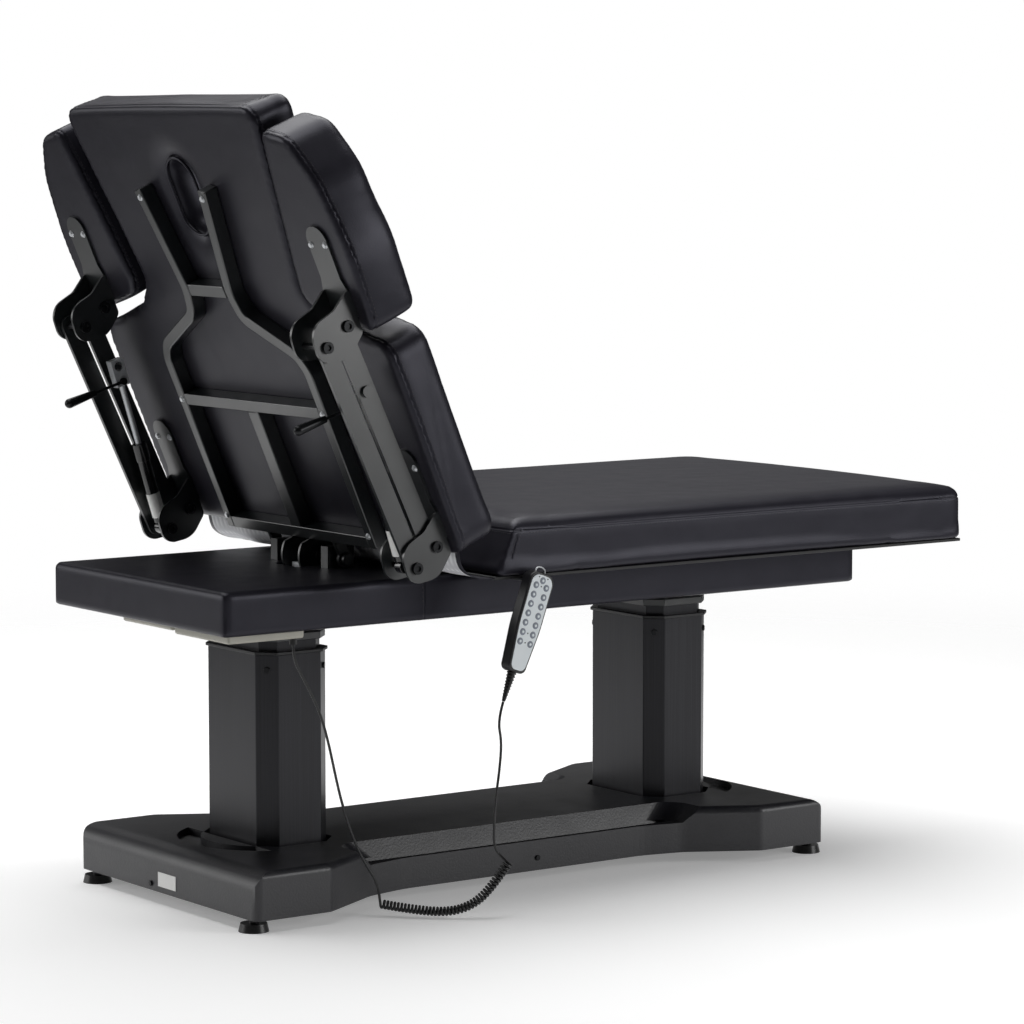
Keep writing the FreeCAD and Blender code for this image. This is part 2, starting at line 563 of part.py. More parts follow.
def back_loop():
    bottom = along(S.back_bottom)
    half = [(bottom, S.back_width / 2, S.back_corner), (along(S.shoulder), S.back_width / 2, 34),
            (along(S.shoulder + S.shoulder_slope), S.neck_width / 2 + 40, 40),
            (along(S.neck_height), S.neck_width / 2, 40), (along(S.head_height), S.head_width / 2, 24)]
    other = [(x, -y, radius) for x, y, radius in half[::-1]]
    return rounded_loop(half + other)


def stadium(x, length, width):
    half = length / 2
    round_end = width / 2
    return rounded_loop([(x - half, -width / 2, round_end), (x + half, -width / 2, round_end),
                         (x + half, width / 2, round_end), (x - half, width / 2, round_end)])


back_height = S.back_thickness - S.back_crown
back = crowned(face_of(back_loop()), S.back_rear, back_height, S.back_crown, S.back_width / 2)
hole = face_of(stadium(along(S.face_hole_height), S.face_hole_length, S.face_hole_width))
hole.translate(Vector(0, 0, S.back_rear - 10))
back = back.cut(hole.extrude(Vector(0, 0, S.back_thickness + 20)))
back = rolled(back, S.back_rear_radius, S.back_top_radius, S.back_rear, hole.BoundBox)
hole_edges = [edge for edge in back.Edges if in_plan(edge, hole.BoundBox) and edge.BoundBox.ZLength < 2]
back = back.makeFillet(S.face_hole_roll, hole_edges)
solid_node("back_cushion", back, BACK)

tube_low = S.back_rear - S.tube_depth
for name, side in (("left", 1), ("right", -1)):
    route = [(S.tube_tip_height, S.tube_tip_y, 0), (S.tube_waist_height, S.tube_waist_y, 60),
             (S.tube_bend_high, S.tube_waist_y + 12, 34), (S.tube_bend_low + 28, S.tube_hip_y - 16, 40),
             (S.tube_bend_low, S.tube_hip_y, 40), (S.tube_bottom, S.tube_hip_y, 0)]
    half = S.tube_width / 2
    outline = []
    for offset, points in ((half, route), (-half, route[::-1])):
        for index, (height, y, radius) in enumerate(points):
            here = Vector(height, y, 0)
            position = route.index((height, y, radius))
            into = here - Vector(*route[position - 1][:2], 0) if position else Vector(*route[1][:2], 0) - here
            out = Vector(*route[position + 1][:2], 0) - here if position + 1 < len(route) else into
            into.normalize()
            out.normalize()
            normal = Vector(-(into.y + out.y), into.x + out.x, 0).normalize()
            reach = offset / math.cos(into.getAngle(out) / 2)
            turn_left = into.cross(out).z > 0
            bend = radius + (-offset if turn_left else offset) if radius else 0
            spot = here + normal * reach
            outline.append((along(spot.x), side * spot.y, bend))
    upright = plate("back_upright_" + name, [rounded_loop(outline)], "tube_depth")
    upright.Placement = BACK.multiply(Placement(Vector(0, 0, tube_low), Rotation()))
    node(upright, "back_upright_" + name)


def back_box(name, x, y, z, dims):
    """Box in the flat backrest frame, carried round with the backrest."""
    obj = box(name, ("0", "0", "0"), dims)
    obj.setExpression("Placement.Base.x", None)
    obj.setExpression("Placement.Base.y", None)
    obj.setExpression("Placement.Base.z", None)
    obj.Placement = BACK.multiply(Placement(Vector(x, y, z), Rotation()))
    return obj


bar_reach = S.tube_hip_y - S.tube_width / 2
mid_low = along(S.mid_bar_height) - S.bar_width / 2
mid_size = ("bar_width", "2 * tube_hip_y - tube_width", "tube_depth")
bars = [back_box("mid_bar", mid_low, -bar_reach, tube_low, mid_size)]
waist_reach = S.tube_waist_y - S.tube_width / 2 - 1
bars.append(back_box("top_bar", along(S.tube_waist_height) - S.bar_width / 2, -waist_reach, tube_low,
                     ("bar_width", "2 * tube_waist_y - tube_width - 2", "tube_depth")))
bars.append(back_box("centre_bar", mid_low + S.bar_width, -S.centre_bar_width / 2, tube_low,
                     ("mid_bar_height - hinge_bar_height - bar_width", "centre_bar_width", "tube_depth")))
node(group("back_cross_bars", bars), "back_cross_bars")

# Hinge: angle bar with ears on the pivot shaft, lever discs for the actuator, bearing blocks on the deck
hinge_bar_x = along(S.hinge_bar_height) - S.bar_width / 2
bar = Part.makeBox(S.bar_width, 2 * bar_reach, S.tube_depth, Vector(hinge_bar_x, -bar_reach, tube_low))
for side in (-1, 1):
    ear_y = side * S.ear_spacing / 2 - S.ear_thickness / 2
    ear = Part.makeCylinder(S.ear_radius, S.ear_thickness, Vector(0, ear_y, 0), Vector(0, 1, 0))
    neck = Part.makeBox(-hinge_bar_x - S.bar_width / 2, S.ear_thickness, S.ear_radius - tube_low - 4,
                        Vector(hinge_bar_x + S.bar_width / 2, ear_y, tube_low))
    bar = bar.fuse(ear).fuse(neck)
shaft = Part.makeCylinder(S.shaft_radius, S.shaft_length, Vector(0, -S.shaft_length / 2, 0), Vector(0, 1, 0))
bar = bar.cut(shaft)
solid_node("hinge_bar", bar.removeSplitter(), BACK)

lever_middle = math.radians(37.5)
lever_pin = Vector(S.lever_radius * math.sin(lever_middle), 0, -S.lever_radius * math.cos(lever_middle))
disc_reach = S.disc_spacing / 2 + S.disc_thickness / 2
for side in (-1, 1):
    disc_y = side * S.disc_spacing / 2 - S.disc_thickness / 2
    disc = Part.makeCylinder(S.disc_radius, S.disc_thickness, Vector(0, disc_y, 0), Vector(0, 1, 0))
    wide = 4 * S.disc_thickness
    large = 3 * S.disc_radius
    bar_end = Vector(hinge_bar_x + S.bar_width - large, disc_y - wide / 2, -large)
    behind_bar = Part.makeBox(large, wide, 2 * large, bar_end)
    cushion_end = Vector(along(S.back_bottom) + 1 - large, disc_y - wide / 2, S.back_rear - 0.5)
    under_cushion = Part.makeBox(large, wide, large, cushion_end)
    shaft = shaft.fuse(disc.cut(behind_bar).cut(under_cushion))
lever_start = lever_pin - Vector(0, disc_reach, 0)
shaft = shaft.fuse(Part.makeCylinder(S.lever_pin_radius, 2 * disc_reach, lever_start, Vector(0, 1, 0)))
solid_node("pivot_shaft", shaft.removeSplitter(), BACK)

blocks = []
for side in (-1, 1):
    y = "(%d) * block_spacing / 2 - block_width / 2" % side
    blank = box("block_%d" % side, ("hinge_x - block_length / 2", y, deck_top),
                ("block_length", "block_width", "hinge_z + block_top - (%s)" % deck_top))
    bore = cylinder("block_bore_%d" % side, ("hinge_x", y, "hinge_z"), "shaft_radius + running_gap",
                    "block_width", "Y")
    blocks.append(cut("bearing_block_%d" % side, blank, [bore]))
node(group("pivot_blocks", blocks), "pivot_blocks")

# Back actuator: motor body fixed under the deck, rod with a slotted eye round the lever pin
pin_now = BACK.multVec(lever_pin)
motor = box("motor_blank", ("motor_head_x", "-motor_width / 2", "motor_bottom"),
            ("motor_foot_x - motor_head_x", "motor_width", "motor_top - motor_bottom"))
motor_bore = cylinder("motor_bore", ("motor_head_x - 1", "0", "back_rod_z"), "back_rod_radius + running_gap",
                      "motor_bore_length", "X")
node(cut("back_actuator", motor, [motor_bore]), "back_actuator")
slot_half = S.lever_pin_radius + S.slot_gap
eye_low = S.back_rod_z - S.back_rod_radius
eye_top = S.hinge_z - S.shaft_radius - 2
eye_corner = Vector(pin_now.x - S.eye_length / 2, -S.eye_width / 2, eye_low)
eye = Part.makeBox(S.eye_length, S.eye_width, eye_top - eye_low, eye_corner)
slot_low = S.hinge_z - S.lever_radius - slot_half
slot_corner = Vector(pin_now.x - slot_half, -S.eye_width, slot_low)
slot = Part.makeBox(2 * slot_half, 2 * S.eye_width, eye_top - 3 - slot_low, slot_corner)
rod_start = Vector(pin_now.x + S.eye_length / 2, 0, S.back_rod_z)
rod = Part.makeCylinder(S.back_rod_radius, S.back_rod_length, rod_start, Vector(1, 0, 0))
solid_node("back_actuator_rod", eye.cut(slot).fuse(rod).removeSplitter())

# Arm linkage: on each side a bracket on the backrest, two parallel links, a bracket on the arm pad
# and a lockable gas spring with its release lever. Outlines are drawn in the plane along the back
# (first coordinate, from the hinge to the head) and behind it (second coordinate).
PIVOT_IN = Vector(S.pivot_low, S.pivot_behind, 0)
PIVOT_OUT = PIVOT_IN + Vector(S.pivot_step_along, S.pivot_step_behind, 0)
LINK = Vector(S.link_length, S.link_lean, 0)
LINK_WAY = Vector(LINK).normalize()
LINK_REAR = Vector(-LINK_WAY.y, LINK_WAY.x, 0)
SPRING_PIN = PIVOT_IN + LINK_WAY * S.spring_pin_along + LINK_REAR * S.spring_pin_shift
SIDE_VIEW = Rotation(Vector(1, 0, 0), 90)


def side_point(height, behind):
    return along(height), S.back_rear - behind


def side_plate(name, loops, thickness, side, inner_y):
    """Plate parallel to the table's side, its inner face at inner_y from the middle."""
    start_y = inner_y + getattr(S, thickness) if side > 0 else -inner_y
    return plate(name, loops, thickness, BACK.multiply(Placement(Vector(0, start_y, 0), SIDE_VIEW)))


def side_loop(points):
    return rounded_loop([(*side_point(height, behind), radius) for height, behind, radius in points])


def side_pin(spot, side, inner_y, outer_y, radius):
    x, z = side_point(spot.x, spot.y)
    y0 = inner_y if side > 0 else -outer_y
    return Part.makeCylinder(radius, outer_y - inner_y, Vector(x, y0, z), Vector(0, 1, 0))


def dome_screw(height, y, behind):
    """Low round screw head on a face that looks to the rear."""
    x, z = side_point(height, behind)
    rear = Vector(0, 0, -1)
    return Part.makeCone(S.screw_radius, S.screw_radius * 0.6, S.screw_height, Vector(x, y, z), rear)


cheek_out = S.arm_y + S.bracket_width / 2
cheek_in = S.arm_y - S.bracket_width / 2
link_out = cheek_out - S.cheek_thickness - S.link_gap
link_in = link_out - S.link_thickness


def bracket(name, moved, side):
    """Folded steel bracket: web with a round-tipped tongue, and two cheeks with a pointed top."""
    base = moved.x + S.pivot_low
    face = moved.y + S.web_thickness * 0.5
    deep = moved.y + S.pivot_behind + S.pivot_step_behind
    waist = moved.y + S.pivot_behind
    outline = [(base + 51, face, 4), (base + 31, waist + 12, 24), (base + 24, deep + 16, 30),
               (base - 34, deep + 21, 24), (base - 46, waist + 15, 40), (base - 20, face, 12)]
    pivots = (PIVOT_IN + moved, PIVOT_OUT + moved)
    parts = []
    for label, inner_y in (("outer", cheek_out - S.cheek_thickness), ("inner", cheek_in)):
        loops = [side_loop(outline)] + [circle(*side_point(spot.x, spot.y), S.bolt_radius) for spot in pivots]
        parts.append(side_plate("%s_%s_cheek" % (name, label), loops, "cheek_thickness", side, inner_y))
    y = side * S.arm_y
    half_web = S.bracket_width / 2
    half_tip = S.tongue_width / 2
    tip = along(moved.x + S.tongue_length)
    web = rounded_loop([(along(base + 4), y - half_web, 3), (along(base + 4), y + half_web, 3),
                        (along(base + 49), y + half_web, 10), (along(base + 68), y + half_tip, 10),
                        (tip, y + half_tip, half_tip - 1), (tip, y - half_tip, half_tip - 1),
                        (along(base + 68), y - half_tip, 10), (along(base + 49), y - half_web, 10)])
    web_low = Vector(0, 0, S.back_rear - S.web_thickness - moved.y)
    parts.append(plate(name + "_web", [web], "web_thickness", BACK.multiply(Placement(web_low, Rotation()))))
    return node(fuse(name, parts), name)


def bracket_bolts(moved, side):
    """Two pivot bolts across the cheeks, with heads on both sides, and the two tongue screws."""
    solids = []
    for spot in (PIVOT_IN + moved, PIVOT_OUT + moved):
        pin = side_pin(spot, side, cheek_in, cheek_out, S.bolt_radius)
        for inner_y in (cheek_in - S.bolt_head_height, cheek_out):
            pin = pin.fuse(side_pin(spot, side, inner_y, inner_y + S.bolt_head_height, S.bolt_head_radius))
        solids.append(pin)
    height = moved.x + S.screw_height_along
    for offset in (-S.screw_pitch / 2, S.screw_pitch / 2):
        solids.append(dome_screw(height, side * S.arm_y + offset, moved.y + S.web_thickness))
    return solids


def link(name, start, shift, side, stub):
    """Flat bar with round ends past two pivots; the inner one also carries the gas spring's pin."""
    half = S.link_width / 2
    foot = start + LINK_REAR * shift
    ends = []
    for end, way in ((foot, -1), (foot + LINK, 1)):
        for across in (-way, way):
            corner = end + LINK_WAY * (way * half) + LINK_REAR * (across * half)
            ends.append((corner.x, corner.y, half - 0.01))
    bore = S.bolt_radius + S.running_gap
    loops = [side_loop(ends)] + [circle(*side_point(spot.x, spot.y), bore) for spot in (start, start + LINK)]
    bar = side_plate(name + ("_bar" if stub else ""), loops, "link_thickness", side, link_in)
    if not stub:
        return node(bar, name)
    pin = doc.addObject("Part::Feature", name + "_pin")
    pin_tip = S.gas_y - S.release_block_thickness / 2 - 3
    shank = side_pin(SPRING_PIN, side, pin_tip, link_out, S.spring_pin_radius)
    head = side_pin(SPRING_PIN, side, link_out, link_out + S.bolt_head_height, S.bolt_head_radius)
    pin.Shape = shank.fuse(head)
    pin.Placement = BACK
    return node(fuse(name, [bar, pin]), name)


def arm_pad(name, side):
    outline = [(S.pad_top, S.pad_tip_y, 12), (S.pad_inner_height, S.pad_inner_y, 34),
               (S.pad_low_height, S.pad_low_y, 15), (S.pad_outer_height, S.pad_outer_y, 260),
               (S.pad_upper_height, S.pad_upper_y, 110), (S.pad_top - S.pad_corner_drop, S.pad_corner_y, 40)]
    face = face_of(rounded_loop([(along(height), side * y, radius) for height, y, radius in outline]))
    rear = S.back_rear - S.link_lean
    face.translate(Vector(0, 0, rear))
    slab = face.extrude(Vector(0, 0, S.pad_thickness))
    return solid_node(name, rolled(slab, S.back_rear_radius, S.pad_edge_radius, rear), BACK)


spring_line = SPRING_PIN - PIVOT_OUT
spring_length = spring_line.Length
spring_turn = math.degrees(math.atan2(spring_line.y, spring_line.x))


def spring_place(side):
    """Frame of a gas spring: origin at its lower pivot, X along the spring, Y across the table."""
    x, z = side_point(PIVOT_OUT.x, PIVOT_OUT.y)
    turned = Rotation(Vector(0, 1, 0), 180 - spring_turn)
    return BACK.multiply(Placement(Vector(x, side * S.gas_y, z), turned))


def gas_tube(name, side):
    across = Vector(0, 1, 0)
    lengthwise = Vector(1, 0, 0)
    radius = S.gas_tube_radius
    half_eye = S.gas_eye_thickness / 2
    eye = Part.makeCylinder(radius, S.gas_eye_thickness, Vector(0, -half_eye, 0), across)
    neck = Part.makeBox(2 * radius, S.gas_eye_thickness, radius, Vector(0, -half_eye, -radius / 2))
    barrel = Part.makeCylinder(radius, S.gas_tube_length - radius, Vector(radius, 0, 0), lengthwise)
    cap_start = Vector(S.gas_tube_length - S.gas_cap_length, 0, 0)
    cap = Part.makeCylinder(S.gas_cap_radius, S.gas_cap_length, cap_start, lengthwise)
    eye_start = Vector(0, -2 * half_eye, 0)
    eye_bore = Part.makeCylinder(S.bolt_radius + S.running_gap, 4 * half_eye, eye_start, across)
    bore_start = Vector(S.gas_tube_length - S.gas_rod_depth - S.gas_bore_spare, 0, 0)
    rod_bore = Part.makeCylinder(S.gas_rod_radius + S.running_gap, S.gas_tube_length, bore_start, lengthwise)
    shape = eye.fuse([neck, barrel, cap]).cut([eye_bore, rod_bore])
    return solid_node(name, shape.removeSplitter(), spring_place(side))


block_start = spring_length - S.release_block_length + S.release_block_width / 2


def gas_rod(name, side):
    lengthwise = Vector(1, 0, 0)
    start = S.gas_tube_length - S.gas_rod_depth
    shape = Part.makeCylinder(S.gas_rod_radius, block_start - start, Vector(start, 0, 0), lengthwise)
    half = S.release_block_thickness / 2
    block = Part.makeBox(S.release_block_length, S.release_block_thickness, S.release_block_width,
                         Vector(block_start, -half, -S.release_block_width / 2))
    hole_start = Vector(spring_length, -2 * half, 0)
    hole = Part.makeCylinder(S.spring_pin_radius + S.spring_pin_gap, 4 * half, hole_start, Vector(0, 1, 0))
    return solid_node(name, shape.fuse(block.cut(hole)).removeSplitter(), spring_place(side))


RELEASE_PIVOT = Vector(block_start + S.release_boss_radius + 2, 0, 0)


def release_lever(name, side):
    """Wire lever with a round grip: a boss beside the block, the wire pointing to the rear."""
    inward = Vector(0, -side, 0)
    boss_start = RELEASE_PIVOT + inward * (S.release_block_thickness / 2 + S.release_gap)
    boss = Part.makeCylinder(S.release_boss_radius, S.release_boss_width, boss_start, inward)
    middle = boss_start + inward * (S.release_boss_width / 2)
    rear = Vector(0, 0, 1)
    wire = Part.makeCylinder(S.release_wire_radius, S.release_wire_length, middle, rear)
    grip_start = middle + rear * S.release_wire_length
    grip = Part.makeCone(S.grip_radius * 0.7, S.grip_radius, S.grip_length, grip_start, rear)
    tip = Part.makeSphere(S.grip_radius, grip_start + rear * S.grip_length)
    return solid_node(name, boss.fuse([wire, grip, tip]), spring_place(side))


back_screws = []
for name, side in (("left", 1), ("right", -1)):
    bracket("root_bracket_" + name, Vector(), side)
    back_screws += bracket_bolts(Vector(), side)
    link("link_outer_" + name, PIVOT_OUT, S.link_outer_shift, side, False)
    link("link_inner_" + name, PIVOT_IN, S.link_inner_shift, side, True)
    arm_pad("arm_pad_" + name, side)
    bracket("pad_bracket_" + name, LINK, side)
    solid_node("pad_bolts_" + name, Part.makeCompound(bracket_bolts(LINK, side)), BACK)
    gas_tube("gas_tube_" + name, side)
    gas_rod("gas_rod_" + name, side)
    release_lever("release_lever_" + name, side)
    upright_screws = ((S.tube_tip_height - 13, S.tube_tip_y - 3), (S.mid_bar_height, S.tube_hip_y),
                      (S.tube_bottom + 22, S.tube_hip_y))
    for height, y in upright_screws:
        back_screws.append(dome_screw(height, side * y, S.tube_depth))
solid_node("back_bolts", Part.makeCompound(back_screws), BACK)

# Bridge flap: a vinyl sheet from the backrest's lower edge down to the leg board
flap_top = BACK.multVec(Vector(along(S.back_bottom) + 0.3, 0, S.back_rear + S.flap_rise - 16))
board_end = S.leg_hip_x + S.board_inset
flap_low = DECK_TOP + S.board_thickness / 2
flap_points = [(board_end - 0.2, flap_low), (board_end - 26, flap_low + 3), (flap_top.x + 14, flap_low + 26),
               (flap_top.x, flap_top.z)]
half_sheet = S.flap_thickness / 2
upper = []
lower = []
for index, (x, z) in enumerate(flap_points):
    before = flap_points[max(index - 1, 0)]
    after = flap_points[min(index + 1, len(flap_points) - 1)]
    way = Vector(after[0] - before[0], after[1] - before[1], 0).normalize()
    bend = 20 if 0 < index < len(flap_points) - 1 else 0
    upper.append((x - way.y * half_sheet, z + way.x * half_sheet, bend))
    lower.append((x + way.y * half_sheet, z - way.x * half_sheet, bend))
flap = plate("bridge_flap", [rounded_loop(upper + lower[::-1])], "flap_width",
             Placement(Vector(0, S.flap_width / 2, 0), SIDE_VIEW))
node(flap, "bridge_flap")

# Handset hanging on its hook at the right side, with its boot
handset_turn = Rotation(Vector(0, 1, 0), S.handset_tilt)
handset_place = Placement(Vector(S.handset_top_x, S.handset_back_y, S.handset_top_z), handset_turn)


def handset_loop(inset):
    top = S.handset_width / 2 - inset
    foot = S.handset_foot_width / 2 - inset
    waist = -S.handset_length * 0.55
    low = -S.handset_length + inset
    side_radius = S.handset_length * 1.25
    return rounded_loop([(-top, -inset, 14), (top, -inset, 14), (top, waist, side_radius),
                         (foot, low, 10), (-foot, low, 10), (-top, waist, side_radius)])


case = face_of(handset_loop(0))
case.rotate(Vector(0, 0, 0), Vector(1, 0, 0), 90)
case = case.extrude(Vector(0, -S.handset_thickness, 0))
rim = [edge for edge in case.Edges if edge.BoundBox.YLength < 0.01]
solid_node("handset_case", case.makeFillet(3, rim), handset_place)
keypad = plate("handset_keypad", [handset_loop(S.keypad_inset + 1)], "keypad_thickness",
               handset_place.multiply(Placement(Vector(0, -S.handset_thickness, 0), SIDE_VIEW)))
node(keypad, "handset_keypad")
boot_way = Vector(0, 0, -1)
boot = Part.makeCone(S.boot_radius, S.cord_radius + 0.6, S.boot_length,
                     Vector(0, -S.handset_thickness / 2, -S.handset_length), boot_way)
solid_node("cord_boot", boot, handset_place)
hook_corner = Vector(S.handset_top_x - S.hook_width, S.handset_back_y, DECK_TOP - S.hook_thickness)
hook = Part.makeBox(S.hook_width, S.hook_drop * 1.6, S.hook_thickness, hook_corner)
hook_corner.z = DECK_TOP - S.hook_drop
hook = hook.fuse(Part.makeBox(S.hook_width, S.hook_thickness, S.hook_drop, hook_corner))
solid_node("handset_hook", hook.removeSplitter())


# Cord: a straight drop from the gland, a curly stretch by the floor, a rise to the handset's boot
def cord_tube(name, points):
    """Round tube along straight runs joined by tangent arcs as large as the runs allow."""
    points = [Vector(*point) for point in points]
    edges = []
    radii = []
    start = points[0]
    for index in range(1, len(points) - 1):
        into = points[index] - points[index - 1]
        out = points[index + 1] - points[index]
        reach = 0.45 * min(into.Length, out.Length)
        turn = into.getAngle(out)
        into.normalize()
        out.normalize()
        radius = reach / math.tan(turn / 2)
        radii.append(round(radius, 1))
        first = points[index] - into * reach
        last = points[index] + out * reach
        middle = points[index] + (out - into).normalize() * (radius / math.cos(turn / 2) - radius)
        edges.append(Part.LineSegment(start, first).toShape())
        edges.append(Part.Arc(first, middle, last).toShape())
        start = last
    edges.append(Part.LineSegment(start, points[-1]).toShape())
    path = Part.Wire(edges)
    way = (points[1] - points[0]).normalize()
    ring = Part.Wire(Part.makeCircle(S.cord_radius, points[0], way))
    tube = path.makePipeShell([ring], True, False)
    ideal = path.Length * math.pi * S.cord_radius ** 2
    print(name, "length", round(path.Length), "radii", radii, "volume ratio", round(tube.Volume / ideal, 4))
    return solid_node(name, tube)


gland_x = S.deck_head_x + S.deck_wall + S.electric_head_gap + S.control_length - S.gland_inset_x
gland_y = S.control_y + S.gland_inset_y
gland_z = S.deck_bottom - S.control_drop
gland_start = (electric_x + " + control_length - gland_inset_x", "control_y + gland_inset_y",
               "deck_bottom - control_drop - gland_length")
node(cylinder("cord_gland", gland_start, "gland_radius", "gland_length"), "cord_gland")
boot_end = handset_place.multVec(Vector(0, -S.handset_thickness / 2, -S.handset_length - S.boot_length))
gland_end = Vector(gland_x, gland_y, gland_z - S.gland_length)

# The cord hangs in two planes: the drop's, near the gland, and the rise's, at the handset's middle
drop_y = gland_y - 26
rise_y = S.handset_back_y - S.handset_thickness / 2
curl_route = []
for x, share, z in ((-425, 0, 20.5), (-398, 0.264, 16), (-352, 0.589, 12.5), (-318, 0.76, 24),
                    (-296, 0.899, 52), (-273, 0.992, 88)):
    curl_route.append(Vector(x, drop_y + share * (rise_y - drop_y), z))


def curly(name, route):
    """Helix of the cord round a smooth centre line, as one tube on biarcs of a quarter turn."""
    line = Part.BSplineCurve()
    line.interpolate(route)
    length = line.length()
    low = line.FirstParameter
    steps = round(S.curl_count * 4)
    frames = []
    side = Vector(0, 0, 1)
    for step in range(steps + 1):
        parameter = line.parameterAtDistance(length * step / steps, low)
        centre = line.value(parameter)
        way = Vector(*line.tangent(parameter)[0]).normalize()
        side = (side - way * side.dot(way)).normalize()
        frames.append((centre, way, side, way.cross(side)))
    pitch = length / S.curl_count
    rise = math.atan2(pitch, 2 * math.pi * S.curl_radius)
    knots = []
    for step, (centre, way, side, other) in enumerate(frames):
        angle = (step + 1) * math.pi / 2
        out = side * math.cos(angle) + other * math.sin(angle)
        round_way = other * math.cos(angle) - side * math.sin(angle)
        wire_way = round_way * math.cos(rise) + way * math.sin(rise)
        knots.append((centre + out * S.curl_radius, wire_way.normalize()))
    edges = []
    lead = 2 * S.cord_radius
    edges.append(Part.LineSegment(knots[0][0] - knots[0][1] * lead, knots[0][0]).toShape())
    for (start, start_way), (end, end_way) in zip(knots, knots[1:]):
        chord = end - start
        both = start_way + end_way
        square = 2 * (start_way.dot(end_way) - 1)
        linear = -2 * chord.dot(both)
        reach = (-linear - math.sqrt(linear ** 2 - 4 * square * chord.dot(chord))) / (2 * square)
        first = start + start_way * reach
        second = end - end_way * reach
        middle = (first + second) * 0.5
        for a, b, c in ((start, first, middle), (middle, second, end)):
            weight = (c - a).Length / (2 * reach)
            edges.append(Part.Arc(a, (a + b * (2 * weight) + c) * (1 / (2 + 2 * weight)), c).toShape())
    edges.append(Part.LineSegment(knots[-1][0], knots[-1][0] + knots[-1][1] * lead).toShape())
    path = Part.Wire(edges)
    ring = Part.Wire(Part.makeCircle(S.cord_radius, knots[0][0] - knots[0][1] * lead, knots[0][1]))
    tube = path.makePipeShell([ring], True, False)
    ideal = path.Length * math.pi * S.cord_radius ** 2
    print(name, "wire", round(path.Length), "volume ratio", round(tube.Volume / ideal, 4))
    solid_node(name, tube)
    return (knots[0][0] - knots[0][1] * lead, knots[0][1]), (knots[-1][0] + knots[-1][1] * lead, knots[-1][1])


(curl_in, curl_in_way), (curl_out, curl_out_way) = curly("cord_curl", curl_route)
drop_points = [gland_end, gland_end - Vector(0, 0, 24), (-553, gland_y - 4, 384), (-529, gland_y - 12, 332),
               (-517, gland_y - 17, 284), (-508, gland_y - 20, 238), (-497, gland_y - 22, 190),
               (-481, gland_y - 24, 141), (-461, gland_y - 26, 96), curl_in - curl_in_way * 38, curl_in]
cord_tube("cord_drop", drop_points)
rise_points = [curl_out, curl_out + curl_out_way * 30, (-300, rise_y, 152), (-298, rise_y - 0.5, 192),
               (-290, rise_y, 236), (-285.5, rise_y, 282),
               boot_end - handset_turn.multVec(Vector(0, 0, 1)) * 32, boot_end]
cord_tube("cord_rise", rise_points)

# Check every object, then write one file per sub-part
doc.recompute()
for obj in doc.Objects:
    if "Invalid" in obj.State or "Error" in obj.State:
        raise RuntimeError("%s did not compute: %s" % (obj.Name, obj.State))
for obj, name in nodes:
    if obj.Shape.isNull() or not obj.Shape.isValid() or not obj.Shape.Solids:
        raise RuntimeError(name + " has no valid shape")
os.makedirs("parts", exist_ok=True)
for obj, name in nodes:
    obj.Shape.exportStep("parts/%s.step" % name)
print(len(nodes), "sub-parts written")
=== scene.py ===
# %% [markdown]
# # Dressing an electric treatment table
# The CAD model gives every rigid piece its place and size. Here it becomes the frame of a Blender
# scene, and the soft pieces, the seams, the cord and the finishes are made on top of it.
# Everything is in metres, in the same frame as the CAD: +X to the foot end, +Y to the user's left.

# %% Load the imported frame
import json
import math

import bmesh
import bpy
import numpy as np
from mathutils import Matrix, Vector


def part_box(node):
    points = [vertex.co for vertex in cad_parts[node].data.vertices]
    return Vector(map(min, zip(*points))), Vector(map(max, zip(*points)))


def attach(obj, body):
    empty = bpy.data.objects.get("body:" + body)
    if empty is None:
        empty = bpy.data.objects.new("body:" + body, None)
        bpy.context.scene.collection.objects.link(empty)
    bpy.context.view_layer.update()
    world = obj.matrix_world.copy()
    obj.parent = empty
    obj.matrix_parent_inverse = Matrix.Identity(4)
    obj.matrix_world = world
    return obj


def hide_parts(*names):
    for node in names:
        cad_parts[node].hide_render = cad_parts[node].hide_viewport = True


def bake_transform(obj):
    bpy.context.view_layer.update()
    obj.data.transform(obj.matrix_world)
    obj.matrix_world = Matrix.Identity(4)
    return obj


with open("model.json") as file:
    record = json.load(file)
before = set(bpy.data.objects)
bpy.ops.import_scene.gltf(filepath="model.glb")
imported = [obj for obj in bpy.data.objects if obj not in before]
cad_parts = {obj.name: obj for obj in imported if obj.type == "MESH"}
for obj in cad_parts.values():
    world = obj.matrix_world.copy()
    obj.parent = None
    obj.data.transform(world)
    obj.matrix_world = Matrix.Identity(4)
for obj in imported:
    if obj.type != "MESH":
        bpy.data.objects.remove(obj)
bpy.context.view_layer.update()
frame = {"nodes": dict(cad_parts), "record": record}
scene = bpy.context.scene
MM = 0.001

# %% [markdown]
# ## Camera
# The photograph looks at the head end from the user's right, a little above the leg section. A long
# lens far away keeps the vertical edges nearly parallel, as they are in the photograph. The place
# was worked out from the corners of the deck, the base and the cushions.

# %% Camera at the photograph's angle
lens = bpy.data.cameras.new("photo_camera")
lens.sensor_width = 36.0
lens.lens = 135.0
camera = bpy.data.objects.new("photo_camera", lens)
camera.location = (-3.7382, -5.1905, 1.2341)
looked_at = Vector((0.0217, 0.0, 0.5901))
camera.rotation_euler = (looked_at - camera.location).to_track_quat("-Z", "Y").to_euler()
scene.collection.objects.link(camera)
scene.camera = camera
print("camera", tuple(round(number, 3) for number in camera.location))

# %% [markdown]
# ## Tools for the materials
# Each finish is a small node tree. Colours are written as sRGB hex values, the way a paint card
# gives them, and one function turns them into the linear numbers that a shader needs. Patterns
# read Object coordinates, which are metres here, so a scale is one over the pattern's real size.


